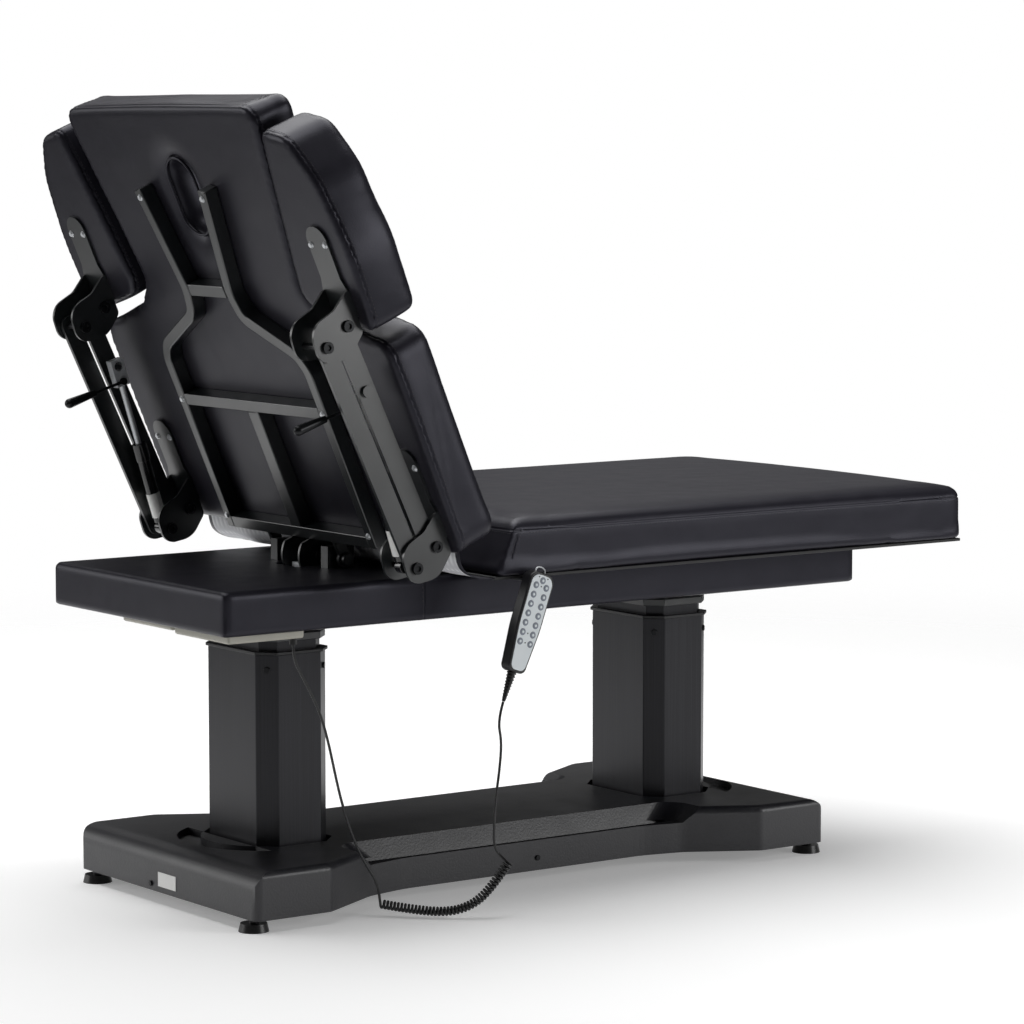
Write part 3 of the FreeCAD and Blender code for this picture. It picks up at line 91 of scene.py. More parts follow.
# %% Colour, node and material helpers
def linear(hex_code):
    """An sRGB hex colour as linear red, green, blue and alpha."""
    parts = [int(hex_code[start:start + 2], 16) / 255 for start in (1, 3, 5)]
    return [part / 12.92 if part <= 0.04045 else ((part + 0.055) / 1.055) ** 2.4 for part in parts] + [1.0]


def add_node(tree, kind, inputs=None, to=None, **settings):
    """Adds a node. An input given as a socket is linked, and any other value is set on it.

    With to, a socket, the node's first output is linked to it."""
    added = tree.nodes.new(kind)
    for name, value in settings.items():
        setattr(added, name, value)
    for name, value in (inputs or {}).items():
        if isinstance(value, bpy.types.NodeSocket):
            tree.links.new(value, added.inputs[name])
        else:
            added.inputs[name].default_value = value
    if to is not None:
        tree.links.new(added.outputs[0], to)
    return added


def start_material(name, colour, roughness, **sockets):
    """A material whose shader has its constant sockets set, with its tree, shader and coordinates."""
    material = bpy.data.materials.new(name)
    material.use_nodes = True
    material.diffuse_color = linear(colour)
    tree = material.node_tree
    shader = tree.nodes["Principled BSDF"]
    shader.inputs["Base Color"].default_value = linear(colour)
    shader.inputs["Roughness"].default_value = roughness
    for socket, value in sockets.items():
        shader.inputs[socket.replace("_", " ")].default_value = value
    place = add_node(tree, "ShaderNodeTexCoord").outputs["Object"]
    return material, tree, shader, place


def per_mm(size):
    """The texture scale that gives a pattern of this size in millimetres."""
    return 1 / (size * MM)


# %% [markdown]
# ## Black vinyl
# The cushions and the deck are covered in polyurethane-coated vinyl, embossed with a fine leather
# grain. The eye sees a soft satin sheen that changes a little from place to place, and faint waves
# where the cover is drawn over foam. A real grain is about 1 mm; it is drawn at 2.2 mm to show.

# %% Vinyl
vinyl, tree, shader, place = start_material("embossed_black_vinyl", "#201f26", 0.38,
                                           Specular_IOR_Level=0.3, Specular_Tint=linear("#eeeeff"))
grain = add_node(tree, "ShaderNodeTexVoronoi", {"Vector": place, "Scale": per_mm(2.2)}, feature="SMOOTH_F1")
wave = add_node(tree, "ShaderNodeTexNoise", {"Vector": place, "Scale": per_mm(150), "Detail": 2.0})
blotch = add_node(tree, "ShaderNodeTexNoise", {"Vector": place, "Scale": per_mm(35), "Detail": 4.0})
tint = add_node(tree, "ShaderNodeValToRGB", {"Fac": blotch.outputs["Fac"]},
                to=shader.inputs["Base Color"])
tint.color_ramp.elements[0].color = linear("#1b1a20")
tint.color_ramp.elements[1].color = linear("#232229")
add_node(tree, "ShaderNodeMapRange", {"Value": blotch.outputs["Fac"], "To Min": 0.33, "To Max": 0.43},
         to=shader.inputs["Roughness"])
soft = add_node(tree, "ShaderNodeBump", {"Height": wave.outputs["Fac"], "Strength": 0.5, "Distance": 5 * MM})
add_node(tree, "ShaderNodeBump",
         {"Height": grain.outputs["Distance"], "Strength": 0.18, "Distance": 0.3 * MM,
          "Normal": soft.outputs["Normal"]},
         to=shader.inputs["Normal"])
print("material", vinyl.name)

# %% [markdown]
# ## Painted, moulded and metal finishes
# The backrest's steel is powder coated: satin black with a slight orange peel. The columns are
# extruded aluminium, brushed along their length and anodised black. The base cover is moulded ABS
# with a leather grain. Each of these differs mostly in how rough it is and in what its bump follows.

# %% Powder coat
powder_coat, tree, shader, place = start_material("black_powder_coat", "#1a1c1f", 0.32,
                                                  Specular_IOR_Level=1.0)
peel = add_node(tree, "ShaderNodeTexNoise", {"Vector": place, "Scale": per_mm(1.6), "Detail": 2.0})
patch = add_node(tree, "ShaderNodeTexNoise", {"Vector": place, "Scale": per_mm(40), "Detail": 3.0})
add_node(tree, "ShaderNodeMapRange", {"Value": patch.outputs["Fac"], "To Min": 0.26, "To Max": 0.38},
         to=shader.inputs["Roughness"])
tint = add_node(tree, "ShaderNodeValToRGB", {"Fac": patch.outputs["Fac"]}, to=shader.inputs["Base Color"])
tint.color_ramp.elements[0].color = linear("#131617")
tint.color_ramp.elements[1].color = linear("#1b1f21")
add_node(tree, "ShaderNodeBump", {"Height": peel.outputs["Fac"], "Strength": 0.12, "Distance": 0.2 * MM},
         to=shader.inputs["Normal"])
print("material", powder_coat.name)

# %% Brushed black anodised aluminium
anodised, tree, shader, place = start_material("brushed_black_anodised_aluminium", "#2a2a2e", 0.36,
                                               Metallic=0.5)
stretch = add_node(tree, "ShaderNodeMapping", {"Vector": place,
                                               "Scale": (per_mm(0.9), per_mm(0.9), per_mm(220))})
brush = add_node(tree, "ShaderNodeTexNoise", {"Vector": stretch.outputs["Vector"], "Scale": 1.0,
                                              "Detail": 3.0})
tint = add_node(tree, "ShaderNodeValToRGB", {"Fac": brush.outputs["Fac"]}, to=shader.inputs["Base Color"])
tint.color_ramp.elements[0].position = 0.25
tint.color_ramp.elements[0].color = linear("#232326")
tint.color_ramp.elements[1].position = 0.75
tint.color_ramp.elements[1].color = linear("#303034")
add_node(tree, "ShaderNodeMapRange", {"Value": brush.outputs["Fac"], "To Min": 0.3, "To Max": 0.42},
         to=shader.inputs["Roughness"])
add_node(tree, "ShaderNodeBump", {"Height": brush.outputs["Fac"], "Strength": 0.05, "Distance": 0.1 * MM},
         to=shader.inputs["Normal"])
print("material", anodised.name)

# %% Leather-grained ABS
grained_abs, tree, shader, place = start_material("leather_grained_black_abs", "#1f1f23", 0.44,
                                                  Specular_IOR_Level=0.75)
cells = add_node(tree, "ShaderNodeTexVoronoi", {"Vector": place, "Scale": per_mm(3.2)}, feature="SMOOTH_F1")
patch = add_node(tree, "ShaderNodeTexNoise", {"Vector": place, "Scale": per_mm(60), "Detail": 3.0})
add_node(tree, "ShaderNodeMapRange", {"Value": patch.outputs["Fac"], "To Min": 0.36, "To Max": 0.48},
         to=shader.inputs["Roughness"])
tint = add_node(tree, "ShaderNodeValToRGB", {"Fac": cells.outputs["Distance"]},
                to=shader.inputs["Base Color"])
tint.color_ramp.elements[0].color = linear("#1d1d23")
tint.color_ramp.elements[1].color = linear("#121217")
add_node(tree, "ShaderNodeBump",
         {"Height": cells.outputs["Distance"], "Strength": 0.35, "Distance": 0.5 * MM},
         invert=True, to=shader.inputs["Normal"])
print("material", grained_abs.name)


# %% Plated, blackened and enamelled steel
def filmed(name, colour, roughness, patch_size, detail, least, most, **sockets):
    """A thin film on steel: its roughness drifts between two values over patches of a size in mm."""
    material, tree, shader, place = start_material(name, colour, roughness, **sockets)
    film = add_node(tree, "ShaderNodeTexNoise", {"Vector": place, "Scale": per_mm(patch_size),
                                                 "Detail": detail})
    add_node(tree, "ShaderNodeMapRange", {"Value": film.outputs["Fac"], "To Min": least, "To Max": most},
             to=shader.inputs["Roughness"])
    print("material", name)
    return material


zinc = filmed("zinc_plated_steel", "#d2d5d8", 0.3, 3, 3.0, 0.2, 0.42, Metallic=0.4)
black_oxide = filmed("black_oxide_steel", "#1d1e20", 0.34, 4, 3.0, 0.24, 0.42, Metallic=0.6)
enamel = filmed("gloss_black_enamel", "#101113", 0.16, 9, 2.0, 0.1, 0.24, Coat_Weight=0.4)


# %% Moulded plastics and rubber
def moulded(name, dark, light, roughness, grit):
    """A moulded surface: an even colour with faint clouding and a fine spark-eroded grit in mm."""
    material, tree, shader, place = start_material(name, dark, roughness)
    cloud = add_node(tree, "ShaderNodeTexNoise", {"Vector": place, "Scale": per_mm(25), "Detail": 3.0})
    tint = add_node(tree, "ShaderNodeValToRGB", {"Fac": cloud.outputs["Fac"]},
                    to=shader.inputs["Base Color"])
    tint.color_ramp.elements[0].color = linear(dark)
    tint.color_ramp.elements[1].color = linear(light)
    spark = add_node(tree, "ShaderNodeTexNoise", {"Vector": place, "Scale": per_mm(grit), "Detail": 2.0})
    add_node(tree, "ShaderNodeMapRange",
             {"Value": spark.outputs["Fac"], "To Min": roughness - 0.08, "To Max": roughness + 0.08},
             to=shader.inputs["Roughness"])
    add_node(tree, "ShaderNodeBump",
             {"Height": spark.outputs["Fac"], "Strength": 0.15, "Distance": 0.2 * MM},
             to=shader.inputs["Normal"])
    print("material", name)
    return material


cream_abs = moulded("cream_moulded_abs", "#a3a197", "#aeaca2", 0.48, 1.2)
black_abs = moulded("black_moulded_abs", "#151517", "#1c1c1f", 0.4, 1.0)
silver_film = moulded("silver_keypad_film", "#d9e0e4", "#e4e9ec", 0.4, 0.9)
grey_silicone = moulded("grey_silicone_keys", "#767d87", "#868d97", 0.5, 0.8)
black_rubber = moulded("black_moulded_rubber", "#111112", "#191919", 0.34, 1.1)
cord_sheath = moulded("black_pvc_sheath", "#151516", "#1d1d1f", 0.36, 0.9)
pale_film = moulded("blank_pale_film", "#dcdcda", "#e9e9e7", 0.45, 0.9)
black_board = moulded("black_painted_board", "#161617", "#1e1e20", 0.55, 1.4)
sewing_thread = moulded("black_bonded_nylon_thread", "#2d2c31", "#38373c", 0.5, 0.6)

# %% [markdown]
# ## Knitted backing
# The flap between the two cushions is vinyl with a pale knitted backing, which shows from behind.
# Two crossed waves stand for the knit's rows. A real row is under 1 mm, and is drawn at 2 mm to show.

# %% Knitted backing cloth
knit, tree, shader, place = start_material("pale_knitted_backing", "#d4d5d7", 0.85)
rows = add_node(tree, "ShaderNodeTexWave", {"Vector": place, "Scale": per_mm(2) / 20, "Distortion": 0.6},
                bands_direction="X")
ribs = add_node(tree, "ShaderNodeTexWave", {"Vector": place, "Scale": per_mm(2) / 20, "Distortion": 0.6},
                bands_direction="Y")
weave = add_node(tree, "ShaderNodeMath", {0: rows.outputs["Fac"], 1: ribs.outputs["Fac"]},
                 operation="MULTIPLY")
tint = add_node(tree, "ShaderNodeValToRGB", {"Fac": weave.outputs["Value"]},
                to=shader.inputs["Base Color"])
tint.color_ramp.elements[0].color = linear("#c3c4c8")
tint.color_ramp.elements[1].color = linear("#e2e3e5")
add_node(tree, "ShaderNodeBump",
         {"Height": weave.outputs["Value"], "Strength": 0.3, "Distance": 0.4 * MM},
         to=shader.inputs["Normal"])
print("material", knit.name)

# %% [markdown]
# ## The handset's cord
# One black cord hangs from a gland under the deck, winds into a curly stretch near the floor, and
# rises to the handset. It is one smooth NURBS curve with a round bevel. The curly stretch is a
# helix round a second NURBS curve, which is only read for its points.


# %% Points along a route
def new_object(name, data):
    """An object with this data, linked into the scene."""
    obj = bpy.data.objects.new(name, data)
    scene.collection.objects.link(obj)
    return obj


def nurbs(name, points):
    """A curve object of one NURBS spline with these control points."""
    curve = bpy.data.curves.new(name, "CURVE")
    curve.dimensions = "3D"
    spline = curve.splines.new("NURBS")
    spline.points.add(len(points) - 1)
    for point, at in zip(spline.points, points):
        point.co = (*at, 1.0)
    spline.order_u = 3
    spline.use_endpoint_u = True
    return new_object(name, curve)


def points_of(curve_object):
    """The points of a curve as Blender draws it."""
    graph = bpy.context.evaluated_depsgraph_get()
    mesh = bpy.data.meshes.new_from_object(curve_object.evaluated_get(graph))
    points = [vertex.co.copy() for vertex in mesh.vertices]
    bpy.data.meshes.remove(mesh)
    return points


def as_mesh(curve_object):
    """Turns a curve object into a plain mesh object of the same name."""
    graph = bpy.context.evaluated_depsgraph_get()
    mesh = bpy.data.meshes.new_from_object(curve_object.evaluated_get(graph))
    name = curve_object.name
    bpy.data.objects.remove(curve_object)
    mesh.materials.clear()
    obj = new_object(name, mesh)
    mesh.shade_smooth()
    return obj


def evenly(points, count):
    """The line through these points, divided into equal steps."""
    line = np.array(points)
    steps = np.linalg.norm(np.diff(line, axis=0), axis=1)
    reached = np.concatenate([[0], np.cumsum(steps)])
    marks = np.linspace(0, reached[-1], count + 1)
    columns = [np.interp(marks, reached, line[:, axis]) for axis in range(3)]
    return [Vector(row) for row in np.stack(columns, axis=1)]


CURL_ROUTE = [(-0.425, -0.268, 0.0205), (-0.398, -0.302, 0.015), (-0.352, -0.344, 0.0105),
              (-0.318, -0.366, 0.0225), (-0.295, -0.385, 0.052), (-0.273, -0.396, 0.088)]
CURL_TURNS = 40.5
POINTS_PER_TURN = 12
CURL_RADIUS = 5.75 * MM
route = nurbs("curl_route", CURL_ROUTE)
route.data.resolution_u = 32
centres = evenly(points_of(route), int(CURL_TURNS * POINTS_PER_TURN))
bpy.data.objects.remove(route)
print("curl route", len(centres), "points")

# %% Helix round the route, then the whole cord
helix = []
beside = Vector((0, 0, 1))
for index, centre in enumerate(centres):
    ahead = (centres[min(index + 1, len(centres) - 1)] - centres[max(index - 1, 0)]).normalized()
    beside = (beside - ahead * beside.dot(ahead)).normalized()
    angle = math.pi / 2 + 2 * math.pi * index / POINTS_PER_TURN
    helix.append(centre + (beside * math.cos(angle) + ahead.cross(beside) * math.sin(angle)) * CURL_RADIUS)

CORD_EXIT = Vector((-0.570, -0.242, 0.440))
BOOT_END = Vector((-0.2825, -0.397, 0.3446))
BOOT_AXIS = Vector((math.sin(math.radians(20)), 0, math.cos(math.radians(20))))
into_curl = (helix[1] - helix[0]).normalized()
out_of_curl = (helix[-1] - helix[-2]).normalized()
drop = [CORD_EXIT, (-0.570, -0.242, 0.416), (-0.553, -0.246, 0.384), (-0.529, -0.254, 0.332),
        (-0.517, -0.259, 0.284), (-0.508, -0.262, 0.238), (-0.497, -0.264, 0.190), (-0.481, -0.266, 0.141),
        (-0.461, -0.268, 0.096), helix[0] - into_curl * 0.038]
rise = [helix[-1] + out_of_curl * 0.030, (-0.300, -0.397, 0.152), (-0.298, -0.3975, 0.192),
        (-0.290, -0.397, 0.236), (-0.2855, -0.397, 0.282), BOOT_END - BOOT_AXIS * 0.032, BOOT_END]
cord = nurbs("handset_cord", drop + helix + rise)
cord.data.resolution_u = 5
cord_line = points_of(cord)
cord_length = sum((after - before).length for before, after in zip(cord_line, cord_line[1:]))
cord.data.bevel_depth = 2.2 * MM
cord.data.bevel_resolution = 2
cord.data.use_fill_caps = True
cord.data.materials.append(cord_sheath)
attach(cord, "carriage")
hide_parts("cord_drop", "cord_curl", "cord_rise")
print("cord length", round(cord_length, 3))

# %% [markdown]
# ## Rigid pieces with eased edges
# A CAD solid has knife edges, while pressed, sawn or moulded pieces have small radii that catch the
# light as thin bright lines. Each visible rigid piece is a merged copy of its CAD node with a narrow
# bevel on its sharp edges. Weighted normals keep the large faces flat between the bevels.


# %% Copies of CAD nodes
BODY_OF = {name: body for body, names in frame["record"]["behaviour"]["bodies"].items() for name in names}


def copy_of(node, name):
    """A merged copy of a CAD node's mesh, as an object at the origin."""
    mesh = frame["nodes"][node].data.copy()
    mesh.materials.clear()
    work = bmesh.new()
    work.from_mesh(mesh)
    bmesh.ops.remove_doubles(work, verts=work.verts, dist=1e-5)
    work.to_mesh(mesh)
    work.free()
    return new_object(name, mesh)


def bake(obj):
    """Swaps an object's mesh for the one that its modifiers make, and drops them."""
    graph = bpy.context.evaluated_depsgraph_get()
    mesh = bpy.data.meshes.new_from_object(obj.evaluated_get(graph), depsgraph=graph)
    obj.modifiers.clear()
    old = obj.data
    obj.data = mesh
    bpy.data.meshes.remove(old)
    return obj


def settle(obj, body, slot, *nodes):
    """Puts a finished piece on its body, in place of CAD nodes. The slot is not used."""
    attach(obj, body)
    if nodes:
        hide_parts(*nodes)
    return obj


SHARP = math.radians(35)
FLAT = math.radians(0.3)


def round_edges(obj, width, segments=2):
    """Rounds an object's sharp edges by a width in mm and keeps its large faces flat."""
    obj.data.shade_smooth()
    obj.data.set_sharp_from_angle(angle=SHARP)
    bevel = obj.modifiers.new("edge", "BEVEL")
    bevel.width = width * MM
    bevel.segments = segments
    bevel.limit_method = "ANGLE"
    bevel.angle_limit = SHARP
    bevel.use_clamp_overlap = True
    weigh = obj.modifiers.new("flat", "WEIGHTED_NORMAL")
    weigh.keep_sharp = True
    return bake(obj)


def eased(node, width, material, slot, segments=2, merge_flat=True):
    """A CAD node's piece with rounded edges. Flat faces are merged first, unless openings pierce them."""
    obj = copy_of(node, node + "_eased")
    if merge_flat:
        work = bmesh.new()
        work.from_mesh(obj.data)
        bmesh.ops.dissolve_limit(work, angle_limit=FLAT, verts=work.verts, edges=work.edges)
        work.to_mesh(obj.data)
        work.free()
    round_edges(obj, width, segments)
    obj.data.materials.clear()
    obj.data.materials.append(material)
    return settle(obj, BODY_OF[node], slot, node)


# %% Ease the rigid pieces
EASED = {
    powder_coat: ("powder_coat", {
        "back_upright_left": 2, "back_upright_right": 2, "back_cross_bars": 1.5, "hinge_bar": 1.2,
        "root_bracket_left": 0.8, "root_bracket_right": 0.8, "pad_bracket_left": 0.8,
        "pad_bracket_right": 0.8, "link_outer_left": 0.9, "link_outer_right": 0.9, "link_inner_left": 0.9,
        "link_inner_right": 0.9, "deck_frame": 1.5, "column_top_plates": 1.2, "pivot_shaft": 0.8,
        "pivot_blocks": 1.2, "handset_hook": 0.8}),
    anodised: ("column_metal", {
        "column_outer_head": 1.2, "column_outer_foot": 1.2, "column_inner_head": 1.0,
        "column_inner_foot": 1.0}),
    black_abs: ("handset_black", {"column_collars": 0.8, "back_actuator": 2.0}),
    cream_abs: ("cream_plastic", {"control_box": 4.0, "power_box": 4.0}),
    black_board: ("board", {"leg_board": 1.0}),
    black_oxide: ("dark_screw", {"base_screws": 0.8}),
    zinc: ("bright_steel", {"gas_rod_left": 0.8, "gas_rod_right": 0.8}),
    enamel: ("gas_spring", {"gas_tube_left": 0.8, "gas_tube_right": 0.8}),
}
for material, (slot, widths) in EASED.items():
    for node, width in widths.items():
        eased(node, width, material, slot, 3 if width >= 3 else 2)
    print(slot, len(widths), "pieces eased")
eased("base_cover", 2.5, grained_abs, "base_shell", 3, merge_flat=False)

# %% [markdown]
# ## Bolts and screws
# The pivot bolts of the arms are black button heads with a socket for a key, and the screws that hold
# brackets and uprights to the boards are zinc plated. Both kinds share a CAD node, so they are told
# apart by their length: a bolt crosses both cheeks of its bracket, a screw head is only a low dome.


# %% Sort the fasteners, sink the sockets
def islands(work):
    """Groups of joined vertices of a mesh."""
    left = set(work.verts)
    while left:
        group = [left.pop()]
        for vertex in group:
            for edge in vertex.link_edges:
                other = edge.other_vert(vertex)
                if other in left:
                    left.discard(other)
                    group.append(other)
        yield group


LONGEST_SCREW = 30 * MM
HEAD_CORNERS = 8
HEAD_AREA = 150 * MM * MM
HEAD_RIM = 4.6 * MM
SOCKET_DEPTH = 2.6 * MM


def fasteners(node):
    """A node's bolts in black with sunken sockets, and its screws in zinc."""
    obj = copy_of(node, node + "_set")
    work = bmesh.new()
    work.from_mesh(obj.data)
    bmesh.ops.dissolve_limit(work, angle_limit=FLAT, verts=work.verts, edges=work.edges)
    heads = []
    for group in islands(work):
        faces = {face for vertex in group for face in vertex.link_faces}
        length = max((group[0].co - vertex.co).length for vertex in group)
        if length < LONGEST_SCREW:
            for face in faces:
                face.material_index = 1
        else:
            heads += [face for face in faces
                      if len(face.verts) > HEAD_CORNERS and face.calc_area() > HEAD_AREA]
    bmesh.ops.inset_individual(work, faces=heads, thickness=HEAD_RIM, depth=0)
    sunk = bmesh.ops.extrude_discrete_faces(work, faces=heads)["faces"]
    for face in sunk:
        bmesh.ops.translate(work, verts=face.verts, vec=-face.normal * SOCKET_DEPTH)
    work.to_mesh(obj.data)
    work.free()
    obj.data.materials.append(black_oxide)
    obj.data.materials.append(zinc)
    round_edges(obj, 1.0)
    print(obj.name, len(heads), "sockets")
    return settle(obj, BODY_OF[node], "dark_screw", node)


for node in ("back_bolts", "pad_bolts_left", "pad_bolts_right"):
    fasteners(node)

# %% Finishes of the pieces whose CAD shape is already right
FINISHES = {
    powder_coat: ["base_frame"],
    black_oxide: ["lift_actuators", "release_lever_left", "release_lever_right"],
    zinc: ["lift_rods", "back_actuator_rod"],
    black_rubber: ["levelling_foot_head_right", "levelling_foot_head_left", "levelling_foot_foot_right",
                   "levelling_foot_foot_left", "cord_gland", "cord_boot"],
    black_abs: ["handset_case"],
    silver_film: ["handset_keypad"],
    pale_film: ["label_plate"],
}
for material, names in FINISHES.items():
    for name in names:
        mesh = frame["nodes"][name].data
        mesh.materials.clear()
        mesh.materials.append(material)
print("finishes", sum(len(names) for names in FINISHES.values()))

# %% [markdown]
# ## Cushions
# Each cushion is foam under a tight vinyl cover. Its CAD solid is remeshed into small even faces, moved
# in or out by a millimetre or so, and blown up from inside as cloth for twenty frames, so that the top
# crowns and the corners stay drawn in. The face that lies on a board is held still. The foam is firm, so
# most of the cloth's ripples are averaged away, and no point moves past a cap. Seams come after that,
# because a remesh would wipe them out.


# %% Remesh, inflate and sew
VOXEL = 6 * MM
PRESSURE = 4.0
FIRMNESS = 0.9
CALM_ROUNDS = 40
LAST_FRAME = 20
RESTING = 3 * MM


def remeshed(node, name, voxel=VOXEL, rounds=6):
    """A copy of a CAD node in small even faces, smoothed a number of times."""
    obj = copy_of(node, name)
    remesh = obj.modifiers.new("voxels", "REMESH")
    remesh.mode = "VOXEL"
    remesh.voxel_size = voxel
    calm = obj.modifiers.new("calm", "SMOOTH")
    calm.factor = 0.5
    calm.iterations = rounds
    bake(obj)
    obj.data.shade_smooth()
    return obj


def coordinates(mesh):
    flat = np.empty(len(mesh.vertices) * 3)
    mesh.vertices.foreach_get("co", flat)
    return flat.reshape(-1, 3)


def normals(mesh):
    flat = np.empty(len(mesh.vertices) * 3)
    mesh.vertex_normals.foreach_get("vector", flat)
    return flat.reshape(-1, 3)


def set_coordinates(mesh, places):
    mesh.vertices.foreach_set("co", np.ascontiguousarray(places).ravel())
    mesh.update()


def calmed(mesh, steps, rounds):
    """Moves of a mesh's points, each averaged with its neighbours a number of times."""
    ends = np.empty(len(mesh.edges) * 2, dtype=np.int32)
    mesh.edges.foreach_get("vertices", ends)
    first, second = ends.reshape(-1, 2).T
    size = len(mesh.vertices)
    count = np.bincount(ends, minlength=size)[:, None]
    for turn in range(rounds):
        total = [np.bincount(first, steps[second, axis], size) + np.bincount(second, steps[first, axis], size)
                 for axis in range(3)]
        steps = np.stack(total, axis=1) / count
    return steps


def inflate(obj, held, shrink, cap):
    """Shrinks a cushion by some mm, or grows it if negative, and blows it up as cloth; held points stay."""
    mesh = obj.data
    start = coordinates(mesh)
    free = ~held
    start[free] -= normals(mesh)[free] * shrink * MM
    set_coordinates(mesh, start)
    group = obj.vertex_groups.new(name="held")
    group.add([int(index) for index in np.flatnonzero(held)], 1.0, "REPLACE")
    cloth = obj.modifiers.new("cover", "CLOTH")
    cloth.settings.use_pressure = True
    cloth.settings.uniform_pressure_force = PRESSURE
    cloth.settings.effector_weights.gravity = 0
    cloth.settings.vertex_group_mass = group.name
    cloth.settings.quality = 4
    cloth.point_cache.frame_start = 1
    cloth.point_cache.frame_end = LAST_FRAME
    for number in range(1, LAST_FRAME + 1):
        scene.frame_set(number)
    graph = bpy.context.evaluated_depsgraph_get()
    moved = coordinates(obj.evaluated_get(graph).data)
    obj.modifiers.remove(cloth)
    obj.vertex_groups.clear()
    scene.frame_set(1)
    step = moved - start
    step = FIRMNESS * calmed(mesh, step, CALM_ROUNDS) + (1 - FIRMNESS) * step
    length = np.linalg.norm(step, axis=1, keepdims=True)
    set_coordinates(mesh, start + step * np.minimum(1, cap * MM / np.maximum(length, 1e-9)))
    print(obj.name, "moved up to", round(float(length.max()) / MM, 1), "mm, capped at", cap)


def loops_of(edges):
    """Chains of vertices along joined edges, longest first."""
    links = {}
    for edge in edges:
        for vertex in edge.verts:
            links.setdefault(vertex, []).append(edge)
    chains = []
    left = set(edges)
    while left:
        edge = left.pop()
        chain = list(edge.verts)
        while True:
            onward = [other for other in links[chain[-1]] if other in left]
            if not onward:
                break
            left.discard(onward[0])
            chain.append(onward[0].other_vert(chain[-1]))
        chains.append(chain)
    return sorted(chains, key=len, reverse=True)


def sew(obj, point, normal, depth, stitch_offsets, half_width=2.4, where=None):
    """Cuts a seam where a plane meets the cover, draws it in by some mm, and returns the stitch lines.

    With where, a test on a point and its normal, only that part of the cover is sewn."""
    normal = Vector(normal).normalized()
    work = bmesh.new()
    work.from_mesh(obj.data)
    rows = {}
    for offset in sorted({-half_width, 0.0, half_width, *stitch_offsets}):
        geometry = work.verts[:] + work.edges[:] + work.faces[:]
        at = Vector(point) + normal * offset * MM
        made = bmesh.ops.bisect_plane(work, geom=geometry, dist=1e-6, plane_co=at, plane_no=normal)
        rows[offset] = [item for item in made["geom_cut"] if isinstance(item, bmesh.types.BMEdge)]
    work.normal_update()
    for offset, edges in rows.items():
        if where:
            edges = [edge for edge in edges if all(where(vertex.co, vertex.normal) for vertex in edge.verts)]
        rows[offset] = loops_of(edges)[0]
    lines = []
    for offset in stitch_offsets:
        lines.append([vertex.co + vertex.normal * 0.1 * MM for vertex in rows[offset]])
    for vertex in rows[0.0]:
        vertex.co -= vertex.normal * depth * MM
    work.to_mesh(obj.data)
    work.free()
    obj.data.shade_smooth()
    return lines


def cover(obj, body, slot, node):
    """Gives a sewn piece its vinyl, and puts it on its body in place of its CAD node."""
    obj.data.materials.clear()
    obj.data.materials.append(vinyl)
    settle(obj, body, slot, node)
    print(obj.name, len(obj.data.polygons), "faces")


# %% Leg cushion
LEG_SEAM_DROP = 22 * MM
HIP_SEAM_IN = 22 * MM
HIP_SEAM_TOP = 24 * MM
HIP_SEAM_LEAN = (0.948, 0, -0.325)
leg = remeshed("leg_cushion", "leg_pad")
leg_low, leg_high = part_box("leg_cushion")
inflate(leg, coordinates(leg.data)[:, 2] < leg_low.z + RESTING, 1.0, 6.0)
leg_lines = sew(leg, (0, 0, leg_high.z - LEG_SEAM_DROP), (0, 0, 1), 1.6, (-5.0,))
for hip_side in (-1, 1):
    leg_lines += sew(leg, (leg_low.x + HIP_SEAM_IN, 0, leg_low.z), HIP_SEAM_LEAN, 1.2, (4.5,),
                     where=lambda at, out: out.y * hip_side > 0.5 and at.z < leg_high.z - HIP_SEAM_TOP)
cover(leg, "carriage", "upholstery", "leg_cushion")

# %% Backrest cushion
BACK_ANGLE = math.radians(66.6)
HINGE = Vector((-0.378, 0, 0.546))
BACK = Matrix.Translation(HINGE) @ Matrix.Rotation(BACK_ANGLE, 4, "Y")
BACK_REAR = 16 * MM
BACK_FOOT = 19
BORDER_SEAM = 9
BORDER_TOP = 60
HEAD_SEAM_HEIGHT = 745
HEAD_SEAM_SIDE = 252
BACK_NORMAL = BACK.to_3x3() @ Vector((0, 0, 1))
BACK_UP = BACK.to_3x3() @ Vector((-1, 0, 0))
to_flat = np.array(BACK.inverted())


def lying_flat(mesh):
    """Points of a backrest piece as they lie with the backrest flat, its hinge at the origin."""
    return coordinates(mesh) @ to_flat[:3, :3].T + to_flat[:3, 3]


def on_back(height, y, depth):
    """A point by its height along the backrest from its foot, y, and depth from its rear face, in mm."""
    return BACK @ Vector((-(height + BACK_FOOT) * MM, y * MM, BACK_REAR + depth * MM))


back = remeshed("back_cushion", "back_pad")
inflate(back, lying_flat(back.data)[:, 2] < BACK_REAR + RESTING, -1.5, 5.0)

# The cover is pulled into the face hole: points near its rim on the rear sink towards the front.
HOLE_X = -0.621
HOLE_STRAIGHT = 0.028
HOLE_RADIUS = 0.035
HOLE_SINK = 8 * MM
SINK_REACH = 0.05
SINK_DEPTH = 0.03
LINING_REACH = 0.022
LINING_ROUNDS = 12
WELT_OUTSIDE = 3 * MM
WELT_DEPTH = 5 * MM
WELT_POINTS = 48
flat = lying_flat(back.data)
from_hole = np.hypot(np.maximum(np.abs(flat[:, 0] - HOLE_X) - HOLE_STRAIGHT, 0), flat[:, 1]) - HOLE_RADIUS
near_rim = np.clip(1 - np.maximum(from_hole, 0) / SINK_REACH, 0, 1) ** 2
near_rear = np.clip(1 - (flat[:, 2] - BACK_REAR) / SINK_DEPTH, 0, 1)
places = coordinates(back.data) + (HOLE_SINK * near_rim * near_rear)[:, None] * np.array(BACK_NORMAL)
set_coordinates(back.data, places)
work = bmesh.new()
work.from_mesh(back.data)
